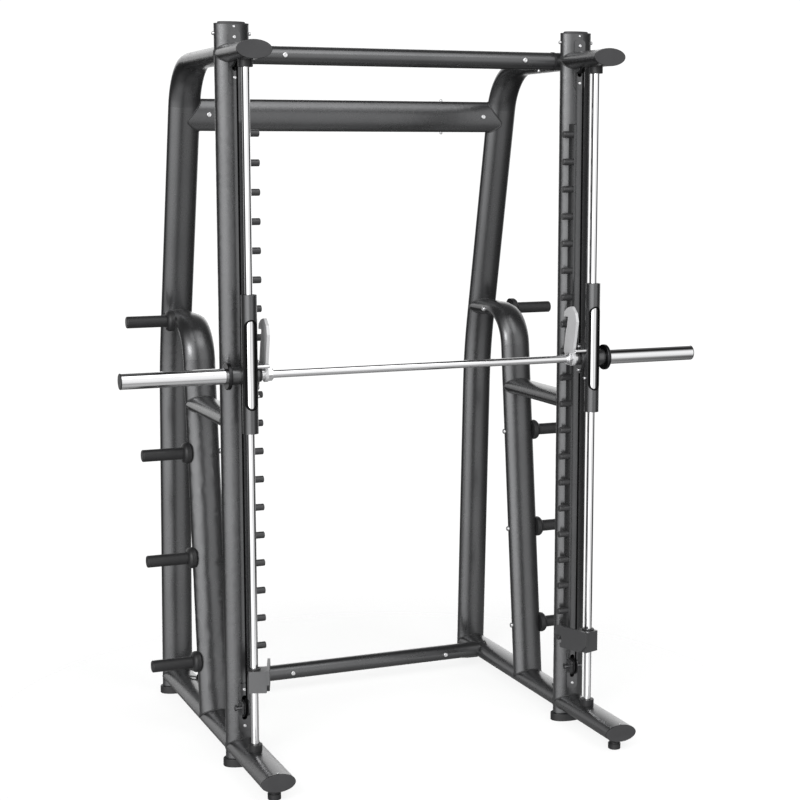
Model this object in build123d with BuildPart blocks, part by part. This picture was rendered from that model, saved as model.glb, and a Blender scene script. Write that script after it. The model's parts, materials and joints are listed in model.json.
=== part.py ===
from build123d import *
import os
from math import cos, pi, radians, sin

# Smith machine in millimetres: +Z up, the lifter's side towards -Y, the machine's centre plane at X = 0.
# The origin is on the floor under the middle of the whole machine's box.

# ---------------------------------------------------------------- driving dimensions
UPRIGHT_X = 600.0  # centre plane to the centre of an upright
UPRIGHT_Y = -243.0  # centre of the uprights; every other Y is counted from it
CAP_RIM_Z = 2382.0  # floor to the rim of the upright caps
CAP_CROWN = 5.5  # how far the caps rise above their rims

# oval frame tube, its wide axis always along X
TUBE_A = 56.0
TUBE_B = 28.5
TUBE_WALL = 3.0

# floor and base rails
UPRIGHT_FOOT_Z = 18.0
RAIL_Z = 65.0
RAIL_FRONT_Y = UPRIGHT_Y - 384.0
CAP_THICKNESS = 4.0
CAP_PLUG_LENGTH = 18.0
CAP_PLUG_CLEARANCE = 0.3
PLUG_WALL = 3.0
TOP_PLUG_CUT = 6.0  # how much shorter the plugs of the upright caps are
CAP_EDGE_RADIUS = 1.5
FOOT_CUP_A = 64.5
FOOT_CUP_B = 37.0
FOOT_CUP_HEIGHT = 27.0
LEVELLER_Y = UPRIGHT_Y - 338.0
LEVELLER_RADIUS = 21.0

# rear posts: (distance behind the uprights, height) of the corners of the bent centre line
TOP_Z = 2291.0
REAR_POST_FOOT = (833.0, UPRIGHT_FOOT_Z)
REAR_POST_KNEE = (777.0, 1235.0)
REAR_POST_SHOULDER = (543.0, TOP_Z)
REAR_POST_KNEE_RADIUS = 1500.0
REAR_POST_SHOULDER_RADIUS = 185.0

# storage posts, bent the same way
STORAGE_Z = 1410.0
STORAGE_FOOT = (316.5, RAIL_Z)
STORAGE_SHOULDER = (456.0, STORAGE_Z)
STORAGE_END_Y = 738.0
STORAGE_SHOULDER_RADIUS = 135.0

BRACE_Z = 1138.0
ARM_FRONT_Y = UPRIGHT_Y - 241.0

# crossbars
TOP_BAR_Y = UPRIGHT_Y + 45.0
TOP_BAR_RADIUS = 29.0
LOW_BAR_Y = UPRIGHT_Y + 677.0
LOW_BAR_Z = 74.0
LOW_BAR_RADIUS = 28.5
BIG_BAR_Y = UPRIGHT_Y + 580.0
BIG_BAR_Z = 2118.0
BIG_BAR_HALF_HEIGHT = 55.0
BIG_BAR_HALF_DEPTH = 25.0
COLLAR_X = 536.0
COLLAR_WIDTH = 8.0
COLLAR_RISE = 1.5
ROUND_BAR_END_X = 562.0  # where the round crossbars stop, inside the curve of the oval tubes

# guide rods
ROD_Y = UPRIGHT_Y - 144.0
ROD_RADIUS = 12.5
ROD_COLLAR_RADIUS = 23.0
TOP_COLLAR_Z = 2243.0
LOW_COLLAR_Z = 114.0

# hook pegs
PEG_COUNT = 20
PEG_PITCH = 91.0
PEG_TOP_Z = 2046.2
PEG_RADIUS = 11.0
PEG_Y = UPRIGHT_Y - 49.0
PEG_TIP_X = 531.0
PEG_PLATE_X = 567.0
PEG_PLATE_THICKNESS = 6.0
PEG_PLATE_FRONT_Y = UPRIGHT_Y - 61.0
PEG_PLATE_MARGIN = 35.0

# weight horns: (distance behind the uprights, height)
HORN_PLACES = ((595.0, 1410.0), (410.8, 973.0), (373.7, 615.0), (336.7, 258.0))
HORN_RADIUS = 20.5
HORN_TIP_X = 815.0
HORN_BASE_RADIUS = 36.0
HORN_BASE_X = 676.0

# counterweight cables and their pulleys
CABLE_X = UPRIGHT_X
CABLE_RADIUS = 3.0
PULLEY_Y = UPRIGHT_Y - 33.0
PULLEY_PITCH_RADIUS = 24.0
PULLEY_RIM_RADIUS = 29.0
PULLEY_HALF_WIDTH = 7.0
PULLEY_HEIGHTS = {"top": 2277.5, "bottom": 200.0}
AXLE_RADIUS = 5.0
AXLE_HALF_LENGTHS = {"top": 18.0, "bottom": 33.0}
AXLE_HEAD_RADIUS = 7.5
AXLE_HEAD_LENGTH = 5.0
BRACKET_FRONT_Y = UPRIGHT_Y - 32.0
BRACKET_HALF_WIDTH = 20.0
BRACKET_HALF_HEIGHT = 81.0
BRACKET_BOLT_REACH = 61.0
CHEEK_FRONT_Y = UPRIGHT_Y - 52.0
CHEEK_HEIGHT = 50.0
BRACKET_CORNER = 12.0
CHEEK_THICKNESS = 4.0
CHEEK_GAP = 8.5
COUNTERWEIGHT_A = 40.0
COUNTERWEIGHT_B = 20.0
COUNTERWEIGHT_LENGTH = 600.0
COUNTERWEIGHT_Z = 1175.0
COUNTERWEIGHT_BORE = 4.5

# carriages that run on the guide rods
CARRIAGE_RADIUS = 25.0
CARRIAGE_BORE = 22.0
CARRIAGE_BOTTOM_Z = 1120.0
CARRIAGE_TOP_Z = 1553.0
WINDOW_BOTTOM_Z = 1194.0
WINDOW_TOP_Z = 1477.0
WINDOW_WIDTH = 42.0
LINER_END_INSET = 3.0
LINER_RADIUS = 20.5
LINER_BORE = 18.0
BUSHING_LENGTH = 62.0
RUNNING_CLEARANCE = 0.05

# the bar and what is on it
BAR_Y = UPRIGHT_Y - 114.5
BAR_Z = 1299.4
BAR_RADIUS = 12.5
HOUSING_RADIUS = 27.5
HOUSING_INNER_X = 566.0
HOUSING_OUTER_X = 655.0
FLANGE_THICKNESS = 8.0
BEARING_RADIUS = 20.0
BEARING_LENGTH = 18.0
SLEEVE_RADIUS = 25.0
SLEEVE_BORE = 20.0
SLEEVE_INNER_X = 669.0
SLEEVE_END_X = 1003.5
FLANGE_DISC_RADIUS = 43.0
FLANGE_DISC_X = 656.5
HOOK_INNER_X = 535.0
HOOK_THICKNESS = 10.0
HOOK_HUB_RADIUS = 24.0
HOOK_REST_TURN = 12.0  # degrees that the hooks stand forward of the pegs at rest
STOP_PIN_RADIUS = 6.0
STOP_PIN_RISE = 28.0
COLLAR_RADIUS = 18.0
RING_RADIUS = 22.0
RING_INNER_X = 556.0
RING_OUTER_X = 564.5

# safety stops on the guide rods
STOP_BOTTOM_Z = 290.0
STOP_TOP_Z = 360.0
STOP_X = 589.0
STOP_HALF_SIDE = 29.0
STOP_CORNER = 3.0
STOP_REST_SWING = 19.0  # degrees that the stops stand swung inwards off the pegs at rest
STOP_HOOK_THICKNESS = 9.0
STOP_BUSH_RADIUS = 15.5
STOP_BUFFER_RADIUS = 20.5
STOP_BUFFER_HEIGHT = 4.5

# button-head screws: head radius, head height, shank radius, shank length
CAP_SIDE_BOLT = (5.5, 7.0, 3.5, 7.0)
CAP_FRONT_BOLT = (4.0, 3.0, 2.5, 7.0)
BRACKET_BOLT = (5.5, 4.0, 3.5, 9.0)
HORN_BOLT = (9.0, 7.0, 5.0, 8.0)
RAIL_CAP_BOLT = (3.5, 2.5, 2.5, 3.0)
RAIL_TOP_BOLT = (7.5, 6.0, 4.0, 7.0)
CROSSBAR_BOLT = (8.5, 6.0, 4.5, 7.0)
SMALL_STUD = (5.0, 8.0, 3.0, 7.0)
HOUSING_BOLT = (6.0, 5.0, 3.5, 8.0)
CARRIAGE_BOLT = (5.0, 6.0, 3.0, 6.0)

FIT_GAP = 0.4  # free gap between pieces of different bodies that pass close by
WELD_GAP = 0.05  # gap left at the copes of the braces and the lower crossbar, and behind the pulley brackets

os.makedirs("parts", exist_ok=True)
SIDES = {"left": -1, "right": 1}


# ---------------------------------------------------------------- helpers
def save(part, name):
    """Label a finished piece and write it as its own STEP file."""
    part.label = name
    export_step(part, f"parts/{name}.step")


def tube_section(wall=TUBE_WALL):
    """Draw the oval tube's section: filled where wall is 0, and larger than the tube where it's below 0."""
    grown = max(0.0, -wall)
    Ellipse(TUBE_A + grown, TUBE_B + grown)
    if wall > 0:
        Ellipse(TUBE_A - wall, TUBE_B - wall, mode=Mode.SUBTRACT)


def across(origin, direction):
    """A plane across an oval tube that runs in the given direction, its local X along the machine's X."""
    return Plane(origin=origin, x_dir=(1, 0, 0), z_dir=direction)


def oval_tube(corners, bend_radii, wall=TUBE_WALL):
    """An oval tube along straight runs between (x, y, z) corners, joined by tangent arcs."""
    with BuildLine(mode=Mode.PRIVATE) as route:
        if bend_radii:
            FilletPolyline(*corners, radius=bend_radii)
        else:
            Line(*corners)
    with BuildPart(mode=Mode.PRIVATE) as tube:
        with BuildSketch(across(route.line @ 0, route.line % 0)):
            tube_section(wall)
        sweep(path=route.line)
    return tube.part


def bolt(seat, direction, size):
    """A button-head screw: seat is the centre under its head, direction is the way the head faces."""
    head_radius, head_height, shank_radius, shank_length = size
    with BuildPart(mode=Mode.PRIVATE) as screw:
        with BuildSketch(Plane(origin=seat, z_dir=direction)):
            Circle(head_radius)
        extrude(amount=head_height)
        crown = screw.faces().sort_by(Axis(seat, direction))[-1]
        fillet(crown.edges(), 0.45 * head_height)
        socket_top = Plane(origin=Vector(seat) + Vector(direction) * head_height, z_dir=direction)
        with BuildSketch(socket_top):
            RegularPolygon(0.5 * head_radius, 6)
        extrude(amount=-0.5 * head_height, mode=Mode.SUBTRACT)
        with BuildSketch(Plane(origin=seat, z_dir=-Vector(direction))):
            Circle(shank_radius)
        extrude(amount=shank_length)
    return screw.part


def behind(side, place):
    """The (x, y, z) of a place given as (distance behind the uprights, height) on one side."""
    return (side * UPRIGHT_X, UPRIGHT_Y + place[0], place[1])


# ---------------------------------------------------------------- centre lines and filled outlines
def rear_post_route(side):
    corners = (REAR_POST_FOOT, REAR_POST_KNEE, REAR_POST_SHOULDER, (0.0, TOP_Z))
    return [behind(side, corner) for corner in corners]


def storage_post_route(side):
    corners = (STORAGE_FOOT, STORAGE_SHOULDER, (STORAGE_END_Y, STORAGE_Z))
    return [behind(side, corner) for corner in corners]


REAR_POST_RADII = (REAR_POST_KNEE_RADIUS, REAR_POST_SHOULDER_RADIUS)
STORAGE_RADII = (STORAGE_SHOULDER_RADIUS,)
RAIL_BACK_Y = UPRIGHT_Y + REAR_POST_FOOT[0] - 3.0
BRACE_END_Y = UPRIGHT_Y + 428.0

filled_upright = {}
upright_seat = {}
filled_rear_post = {}
filled_storage_post = {}
storage_seat = {}
filled_rail = {}
rail_seat = {}
for name, side in SIDES.items():
    x = side * UPRIGHT_X
    upright_ends = [(x, UPRIGHT_Y, UPRIGHT_FOOT_Z), (x, UPRIGHT_Y, CAP_RIM_Z)]
    rail_ends = [(x, RAIL_FRONT_Y, RAIL_Z), (x, RAIL_BACK_Y, RAIL_Z)]
    filled_upright[name] = oval_tube(upright_ends, (), wall=0)
    upright_seat[name] = oval_tube(upright_ends, (), wall=-WELD_GAP)
    filled_rail[name] = oval_tube(rail_ends, (), wall=0)
    rail_seat[name] = oval_tube(rail_ends, (), wall=-WELD_GAP)
    filled_rear_post[name] = oval_tube(rear_post_route(side), REAR_POST_RADII, wall=0)
    filled_storage_post[name] = oval_tube(storage_post_route(side), STORAGE_RADII, wall=0)
    storage_seat[name] = oval_tube(storage_post_route(side), STORAGE_RADII, wall=-WELD_GAP)

# ---------------------------------------------------------------- fasteners of the frame
CAP_BASE_Z = CAP_RIM_Z - CAP_THICKNESS
FRONT = (0, -1, 0)
UP = (0, 0, 1)
DOWN = (0, 0, -1)
TUBE_FRONT_Y = UPRIGHT_Y - TUBE_B
CAP_SIDE_BOLT_Z = 2351.0
CAP_FRONT_BOLT_Z = 2371.0
RAIL_TOP_BOLT_Y = UPRIGHT_Y + 105.0
RAIL_LOW_BOLT_Y = UPRIGHT_Y - 172.0
RAIL_CAP_BOLT_INSET = 10.0
BIG_BAR_BOLT_X = 518.0
TOP_BAR_BOLT_X = 420.0
TOP_BAR_STUD_X = 486.0
LOW_BAR_BOLTS_X = (-207.0, 412.0)
BIG_BAR_STUD_X = 360.0

with BuildPart() as frame_bolts:
    for side in SIDES.values():
        inward = (-side, 0, 0)
        outward = (side, 0, 0)
        x = side * UPRIGHT_X
        add(bolt((x + side * TUBE_A, UPRIGHT_Y, CAP_SIDE_BOLT_Z), outward, CAP_SIDE_BOLT))
        add(bolt((x - side * TUBE_A, UPRIGHT_Y, CAP_SIDE_BOLT_Z), inward, CAP_SIDE_BOLT))
        add(bolt((x, TUBE_FRONT_Y, CAP_FRONT_BOLT_Z), FRONT, CAP_FRONT_BOLT))
        for height in PULLEY_HEIGHTS.values():
            for rise in (-BRACKET_BOLT_REACH, BRACKET_BOLT_REACH):
                add(bolt((side * CABLE_X, BRACKET_FRONT_Y, height + rise), FRONT, BRACKET_BOLT))
        for distance, height in HORN_PLACES:
            add(bolt((x - side * TUBE_A, UPRIGHT_Y + distance, height), inward, HORN_BOLT))
        rail_top = RAIL_Z + TUBE_B
        add(bolt((x, RAIL_FRONT_Y + RAIL_CAP_BOLT_INSET, rail_top), UP, RAIL_CAP_BOLT))
        add(bolt((x, RAIL_TOP_BOLT_Y, rail_top), UP, RAIL_TOP_BOLT))
        add(bolt((x, RAIL_LOW_BOLT_Y, RAIL_Z - TUBE_B), DOWN, RAIL_TOP_BOLT))
        big_bar_front = BIG_BAR_Y - BIG_BAR_HALF_DEPTH
        add(bolt((side * BIG_BAR_BOLT_X, big_bar_front, BIG_BAR_Z), FRONT, CROSSBAR_BOLT))
        add(bolt((side * TOP_BAR_BOLT_X, TOP_BAR_Y - TOP_BAR_RADIUS, TOP_Z), FRONT, CROSSBAR_BOLT))
    for x in LOW_BAR_BOLTS_X:
        add(bolt((x, LOW_BAR_Y - LOW_BAR_RADIUS, LOW_BAR_Z), FRONT, CROSSBAR_BOLT))
    add(bolt((TOP_BAR_STUD_X, TOP_BAR_Y, TOP_Z - TOP_BAR_RADIUS), DOWN, SMALL_STUD))
    add(bolt((BIG_BAR_STUD_X, BIG_BAR_Y, BIG_BAR_Z + BIG_BAR_HALF_HEIGHT), UP, SMALL_STUD))
    add(bolt((BIG_BAR_STUD_X, BIG_BAR_Y, BIG_BAR_Z - BIG_BAR_HALF_HEIGHT), DOWN, SMALL_STUD))

# ---------------------------------------------------------------- uprights
PULLEY_SLOT_WIDTH = 18.0
PULLEY_SLOT_HEIGHT = 82.0

for name, side in SIDES.items():
    x = side * UPRIGHT_X
    with BuildPart() as upright:
        with BuildSketch(Plane.XY.offset(UPRIGHT_FOOT_Z)):
            with Locations((x, UPRIGHT_Y)):
                tube_section()
        extrude(amount=CAP_BASE_Z - UPRIGHT_FOOT_Z)
        # slots in the front wall where the pulleys reach into the tube
        with BuildSketch(Plane.XZ.offset(-UPRIGHT_Y)):
            for height in PULLEY_HEIGHTS.values():
                with Locations((side * CABLE_X, height)):
                    SlotOverall(PULLEY_SLOT_HEIGHT, PULLEY_SLOT_WIDTH, rotation=90)
        extrude(amount=2 * TUBE_B, mode=Mode.SUBTRACT)
        add(frame_bolts.part, mode=Mode.SUBTRACT)
    save(upright.part, f"{name}_upright")

with BuildPart() as upright_caps:
    for side in SIDES.values():
        x = side * UPRIGHT_X
        with BuildSketch(Plane.XY.offset(CAP_BASE_Z)):
            with Locations((x, UPRIGHT_Y)):
                tube_section(wall=0)
        extrude(amount=CAP_THICKNESS)
        with BuildSketch(Plane.XY.offset(CAP_BASE_Z - CAP_PLUG_LENGTH + TOP_PLUG_CUT)):
            with Locations((x, UPRIGHT_Y)):
                plug = TUBE_WALL + CAP_PLUG_CLEARANCE
                Ellipse(TUBE_A - plug, TUBE_B - plug)
                Ellipse(TUBE_A - plug - PLUG_WALL, TUBE_B - plug - PLUG_WALL, mode=Mode.SUBTRACT)
        extrude(amount=CAP_PLUG_LENGTH - TOP_PLUG_CUT)
        with BuildSketch(Plane.XY.offset(CAP_RIM_Z)):
            with Locations((x, UPRIGHT_Y)):
                Ellipse(0.8 * TUBE_A, 0.8 * TUBE_B)
        extrude(amount=CAP_CROWN)
    fillet(upright_caps.faces().sort_by(Axis.Z)[-2:].edges(), 0.7 * CAP_CROWN)
    add(frame_bolts.part, mode=Mode.SUBTRACT)
save(upright_caps.part, "upright_caps")

# ---------------------------------------------------------------- base rails and their feet
RAIL_TUBE_FRONT_Y = RAIL_FRONT_Y + CAP_THICKNESS
LEVELLER_STUD_RADIUS = 6.0
LEVELLER_STUD_BOTTOM_Z = 14.0
LEVELLER_STUD_LENGTH = 46.0
LEVELLER_NUT_RADIUS = 12.0
LEVELLER_NUT_HEIGHT = 9.0
PAD_RIM_HEIGHT = 19.0
PAD_STEP = 3.0
PAD_STEP_HEIGHT = 6.0
PAD_TOP_EDGE_RADIUS = 2.0

with BuildPart() as levelling_studs:
    for side in SIDES.values():
        with BuildSketch(Plane.XY.offset(LEVELLER_STUD_BOTTOM_Z)):
            with Locations((side * UPRIGHT_X, LEVELLER_Y)):
                Circle(LEVELLER_STUD_RADIUS)
        extrude(amount=LEVELLER_STUD_LENGTH)
        with BuildSketch(Plane.XY.offset(LEVELLER_STUD_BOTTOM_Z + LEVELLER_NUT_RADIUS)):
            with Locations((side * UPRIGHT_X, LEVELLER_Y)):
                RegularPolygon(LEVELLER_NUT_RADIUS, 6)
        extrude(amount=LEVELLER_NUT_HEIGHT)
save(levelling_studs.part, "levelling_studs")

with BuildPart() as levelling_pads:
    for side in SIDES.values():
        with BuildSketch(Plane.XY):
            with Locations((side * UPRIGHT_X, LEVELLER_Y)):
                Circle(LEVELLER_RADIUS)
        extrude(amount=PAD_RIM_HEIGHT)
        with BuildSketch(Plane.XY.offset(PAD_RIM_HEIGHT)):
            with Locations((side * UPRIGHT_X, LEVELLER_Y)):
                Circle(LEVELLER_RADIUS - PAD_STEP)
        extrude(amount=PAD_STEP_HEIGHT)
    fillet(levelling_pads.edges().group_by(Axis.Z)[0], PAD_STEP)
    fillet(levelling_pads.edges().group_by(Axis.Z)[-1], PAD_TOP_EDGE_RADIUS)
    add(levelling_studs.part, mode=Mode.SUBTRACT)
save(levelling_pads.part, "levelling_pads")

for name, side in SIDES.items():
    x = side * UPRIGHT_X
    with BuildPart() as front_rail:
        with BuildSketch(across((x, RAIL_TUBE_FRONT_Y, RAIL_Z), (0, 1, 0))):
            tube_section()
        extrude(amount=UPRIGHT_Y - RAIL_TUBE_FRONT_Y)
        add(filled_upright[name], mode=Mode.SUBTRACT)
        add(levelling_studs.part, mode=Mode.SUBTRACT)
        add(frame_bolts.part, mode=Mode.SUBTRACT)
    save(front_rail.part, f"{name}_front_rail")

    with BuildPart() as rear_rail:
        with BuildSketch(across((x, UPRIGHT_Y, RAIL_Z), (0, 1, 0))):
            tube_section()
        extrude(amount=RAIL_BACK_Y - UPRIGHT_Y)
        add(filled_upright[name], mode=Mode.SUBTRACT)
        add(filled_rear_post[name], mode=Mode.SUBTRACT)
        add(frame_bolts.part, mode=Mode.SUBTRACT)
    save(rear_rail.part, f"{name}_rear_rail")

with BuildPart() as rail_end_caps:
    for side in SIDES.values():
        x = side * UPRIGHT_X
        plug = TUBE_WALL + CAP_PLUG_CLEARANCE
        with BuildSketch(across((x, RAIL_FRONT_Y, RAIL_Z), (0, 1, 0))):
            tube_section(wall=0)
        extrude(amount=CAP_THICKNESS)
        with BuildSketch(across((x, RAIL_TUBE_FRONT_Y, RAIL_Z), (0, 1, 0))):
            Ellipse(TUBE_A - plug, TUBE_B - plug)
            Ellipse(TUBE_A - plug - PLUG_WALL, TUBE_B - plug - PLUG_WALL, mode=Mode.SUBTRACT)
        extrude(amount=CAP_PLUG_LENGTH)
    fillet(rail_end_caps.faces().sort_by(Axis.Y)[:2].edges(), CAP_EDGE_RADIUS)
    add(frame_bolts.part, mode=Mode.SUBTRACT)
save(rail_end_caps.part, "rail_end_caps")

with BuildPart() as foot_cups:
    for name, side in SIDES.items():
        for distance in (0.0, REAR_POST_FOOT[0]):
            with BuildSketch(Plane.XY):
                with Locations((side * UPRIGHT_X, UPRIGHT_Y + distance)):
                    Ellipse(FOOT_CUP_A, FOOT_CUP_B)
            extrude(amount=FOOT_CUP_HEIGHT)
    fillet(foot_cups.edges().group_by(Axis.Z)[0], 3)
    fillet(foot_cups.edges().group_by(Axis.Z)[-1], 2.5)
    for name in SIDES:
        add(filled_upright[name], mode=Mode.SUBTRACT)
        add(filled_rear_post[name], mode=Mode.SUBTRACT)
save(foot_cups.part, "foot_cups")

# ---------------------------------------------------------------- bent posts, braces and top arms
for name, side in SIDES.items():
    with BuildPart() as rear_post:
        add(oval_tube(rear_post_route(side), REAR_POST_RADII))
        add(filled_upright[name], mode=Mode.SUBTRACT)
    save(rear_post.part, f"{name}_rear_post")

    with BuildPart() as storage_post:
        add(oval_tube(storage_post_route(side), STORAGE_RADII))
        add(filled_rail[name], mode=Mode.SUBTRACT)
        add(filled_rear_post[name], mode=Mode.SUBTRACT)
        add(frame_bolts.part, mode=Mode.SUBTRACT)
    save(storage_post.part, f"{name}_storage_post")

with BuildPart() as side_braces:
    for side in SIDES.values():
        with BuildSketch(across((side * UPRIGHT_X, UPRIGHT_Y, BRACE_Z), (0, 1, 0))):
            tube_section()
        extrude(amount=BRACE_END_Y - UPRIGHT_Y)
    for name in SIDES:
        add(filled_upright[name], mode=Mode.SUBTRACT)
        add(storage_seat[name], mode=Mode.SUBTRACT)
    # the copes leave slivers behind the storage posts, which aren't part of the braces
    braces = side_braces.solids().sort_by(SortBy.VOLUME)[-2:]
save(Part(Compound(braces).wrapped), "side_braces")

ARM_TUBE_FRONT_Y = ARM_FRONT_Y + CAP_THICKNESS
ARM_SLOT_HALF_WIDTH = CHEEK_GAP + CHEEK_THICKNESS + 1.5
ARM_SLOT_FRONT_Y = PULLEY_Y - PULLEY_RIM_RADIUS - 4

with BuildPart() as top_arms:
    for side in SIDES.values():
        with BuildSketch(across((side * UPRIGHT_X, ARM_TUBE_FRONT_Y, TOP_Z), (0, 1, 0))):
            tube_section()
        extrude(amount=UPRIGHT_Y - ARM_TUBE_FRONT_Y)
    for name in SIDES:
        add(filled_upright[name], mode=Mode.SUBTRACT)
    # room for the pulley bracket against the upright, and a slot below for the pulley and its cheeks
    bracket_room = BRACKET_HALF_WIDTH + 0.2
    with BuildSketch(Plane.XY.offset(TOP_Z - TUBE_B - 1)):
        for side in SIDES.values():
            with Locations((side * CABLE_X, UPRIGHT_Y - 0.5 * (UPRIGHT_Y - BRACKET_FRONT_Y))):
                Rectangle(2 * bracket_room, UPRIGHT_Y - BRACKET_FRONT_Y + 0.2)
    extrude(amount=2 * TUBE_B + 2, mode=Mode.SUBTRACT)
    with BuildSketch(Plane.XY.offset(TOP_Z - TUBE_B - 1)):
        for side in SIDES.values():
            with Locations((side * CABLE_X, 0.5 * (UPRIGHT_Y + ARM_SLOT_FRONT_Y))):
                Rectangle(2 * ARM_SLOT_HALF_WIDTH, UPRIGHT_Y - ARM_SLOT_FRONT_Y)
    extrude(amount=TUBE_B, mode=Mode.SUBTRACT)
save(top_arms.part, "top_arms")

with BuildPart() as arm_end_caps:
    for side in SIDES.values():
        x = side * UPRIGHT_X
        plug = TUBE_WALL + CAP_PLUG_CLEARANCE
        with BuildSketch(across((x, ARM_FRONT_Y, TOP_Z), (0, 1, 0))):
            tube_section(wall=0)
        extrude(amount=CAP_THICKNESS)
        with BuildSketch(across((x, ARM_TUBE_FRONT_Y, TOP_Z), (0, 1, 0))):
            Ellipse(TUBE_A - plug, TUBE_B - plug)
            Ellipse(TUBE_A - plug - PLUG_WALL, TUBE_B - plug - PLUG_WALL, mode=Mode.SUBTRACT)
        extrude(amount=CAP_PLUG_LENGTH)
    fillet(arm_end_caps.faces().sort_by(Axis.Y)[:2].edges(), CAP_EDGE_RADIUS)
save(arm_end_caps.part, "arm_end_caps")

# ---------------------------------------------------------------- crossbars
across_machine = Plane.YZ.offset(-UPRIGHT_X)
round_bar_start = Plane.YZ.offset(-ROUND_BAR_END_X)

with BuildPart() as top_crossbar:
    with BuildSketch(round_bar_start):
        with Locations((TOP_BAR_Y, TOP_Z)):
            Circle(TOP_BAR_RADIUS)
            Circle(TOP_BAR_RADIUS - TUBE_WALL, mode=Mode.SUBTRACT)
    extrude(amount=2 * ROUND_BAR_END_X)
    for name in SIDES:
        add(filled_rear_post[name], mode=Mode.SUBTRACT)
        add(filled_upright[name], mode=Mode.SUBTRACT)
    add(frame_bolts.part, mode=Mode.SUBTRACT)
save(top_crossbar.part, "top_crossbar")

with BuildPart() as crossbar_collars:
    for side in SIDES.values():
        with BuildSketch(Plane.YZ.offset(side * COLLAR_X - 0.5 * COLLAR_WIDTH)):
            with Locations((TOP_BAR_Y, TOP_Z)):
                Circle(TOP_BAR_RADIUS + COLLAR_RISE)
                Circle(TOP_BAR_RADIUS, mode=Mode.SUBTRACT)
        extrude(amount=COLLAR_WIDTH)
save(crossbar_collars.part, "crossbar_collars")

with BuildPart() as upper_rear_crossbar:
    with BuildSketch(across_machine):
        with Locations((BIG_BAR_Y, BIG_BAR_Z)):
            Ellipse(BIG_BAR_HALF_DEPTH, BIG_BAR_HALF_HEIGHT)
            Ellipse(BIG_BAR_HALF_DEPTH - TUBE_WALL, BIG_BAR_HALF_HEIGHT - TUBE_WALL, mode=Mode.SUBTRACT)
    extrude(amount=2 * UPRIGHT_X)
    for name in SIDES:
        add(filled_rear_post[name], mode=Mode.SUBTRACT)
    add(frame_bolts.part, mode=Mode.SUBTRACT)
save(upper_rear_crossbar.part, "upper_rear_crossbar")

with BuildPart() as lower_rear_crossbar:
    with BuildSketch(round_bar_start):
        with Locations((LOW_BAR_Y, LOW_BAR_Z)):
            Circle(LOW_BAR_RADIUS)
            Circle(LOW_BAR_RADIUS - TUBE_WALL, mode=Mode.SUBTRACT)
    extrude(amount=2 * ROUND_BAR_END_X)
    for name in SIDES:
        add(rail_seat[name], mode=Mode.SUBTRACT)
    add(frame_bolts.part, mode=Mode.SUBTRACT)
save(lower_rear_crossbar.part, "lower_rear_crossbar")

# ---------------------------------------------------------------- guide rods and their collars
ROD_BOTTOM_Z = RAIL_Z + TUBE_B
ROD_TOP_Z = TOP_Z - TUBE_B

with BuildPart() as guide_rods:
    for side in SIDES.values():
        with BuildSketch(Plane.XY.offset(ROD_BOTTOM_Z)):
            with Locations((side * UPRIGHT_X, ROD_Y)):
                Circle(ROD_RADIUS)
        extrude(amount=ROD_TOP_Z - ROD_BOTTOM_Z)
save(guide_rods.part, "guide_rods")

with BuildPart() as rod_collars:
    for side in SIDES.values():
        for bottom, top in ((RAIL_Z, LOW_COLLAR_Z), (TOP_COLLAR_Z, TOP_Z)):
            with BuildSketch(Plane.XY.offset(bottom)):
                with Locations((side * UPRIGHT_X, ROD_Y)):
                    Circle(ROD_COLLAR_RADIUS)
                    Circle(ROD_RADIUS, mode=Mode.SUBTRACT)
            extrude(amount=top - bottom)
    for side in SIDES.values():
        x = side * UPRIGHT_X
        for height in (RAIL_Z, TOP_Z):
            with BuildSketch(across((x, ROD_Y - TUBE_A, height), (0, 1, 0))):
                tube_section(wall=0)
            extrude(amount=2 * TUBE_A, mode=Mode.SUBTRACT)
    fillet(rod_collars.faces().filter_by(Plane.XY).group_by(Axis.Z)[0].edges().filter_by(
        lambda edge: edge.radius > ROD_RADIUS + 1), 1.5)
    fillet(rod_collars.faces().filter_by(Plane.XY).group_by(Axis.Z)[-1].edges().filter_by(
        lambda edge: abs(edge.radius - ROD_COLLAR_RADIUS) < 1), 1.5)
save(rod_collars.part, "rod_collars")

# ---------------------------------------------------------------- hook pegs and the plates that carry them
PEG_BOTTOM_Z = PEG_TOP_Z - (PEG_COUNT - 1) * PEG_PITCH
PEG_PLATE_BOTTOM_Z = PEG_BOTTOM_Z - 27.0
PEG_PLATE_TOP_Z = PEG_TOP_Z + PEG_PLATE_MARGIN

with BuildPart() as peg_plates:
    for side in SIDES.values():
        plate_middle_x = side * (PEG_PLATE_X + 0.5 * PEG_PLATE_THICKNESS)
        with BuildSketch(Plane.XY.offset(PEG_PLATE_BOTTOM_Z)):
            with Locations((plate_middle_x, 0.5 * (PEG_PLATE_FRONT_Y + UPRIGHT_Y))):
                Rectangle(PEG_PLATE_THICKNESS, UPRIGHT_Y - PEG_PLATE_FRONT_Y)
        extrude(amount=PEG_PLATE_TOP_Z - PEG_PLATE_BOTTOM_Z)
    for name in SIDES:
        add(filled_upright[name], mode=Mode.SUBTRACT)
    front_corners = peg_plates.edges().filter_by(Axis.X).group_by(Axis.Y)[0]
    fillet(front_corners, 8)
save(peg_plates.part, "peg_plates")

for name, side in SIDES.items():
    with BuildPart() as hook_pegs:
        with BuildSketch(Plane.YZ.offset(side * PEG_TIP_X)):
            for index in range(PEG_COUNT):
                with Locations((PEG_Y, PEG_TOP_Z - index * PEG_PITCH)):
                    Circle(PEG_RADIUS)
        extrude(amount=side * (PEG_PLATE_X - PEG_TIP_X))
        tips = hook_pegs.faces().filter_by(Plane.YZ).sort_by(Axis((0, 0, 0), (side, 0, 0)))
        fillet(tips[:PEG_COUNT].edges(), 2.5)
    save(hook_pegs.part, f"{name}_hook_pegs")

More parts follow.
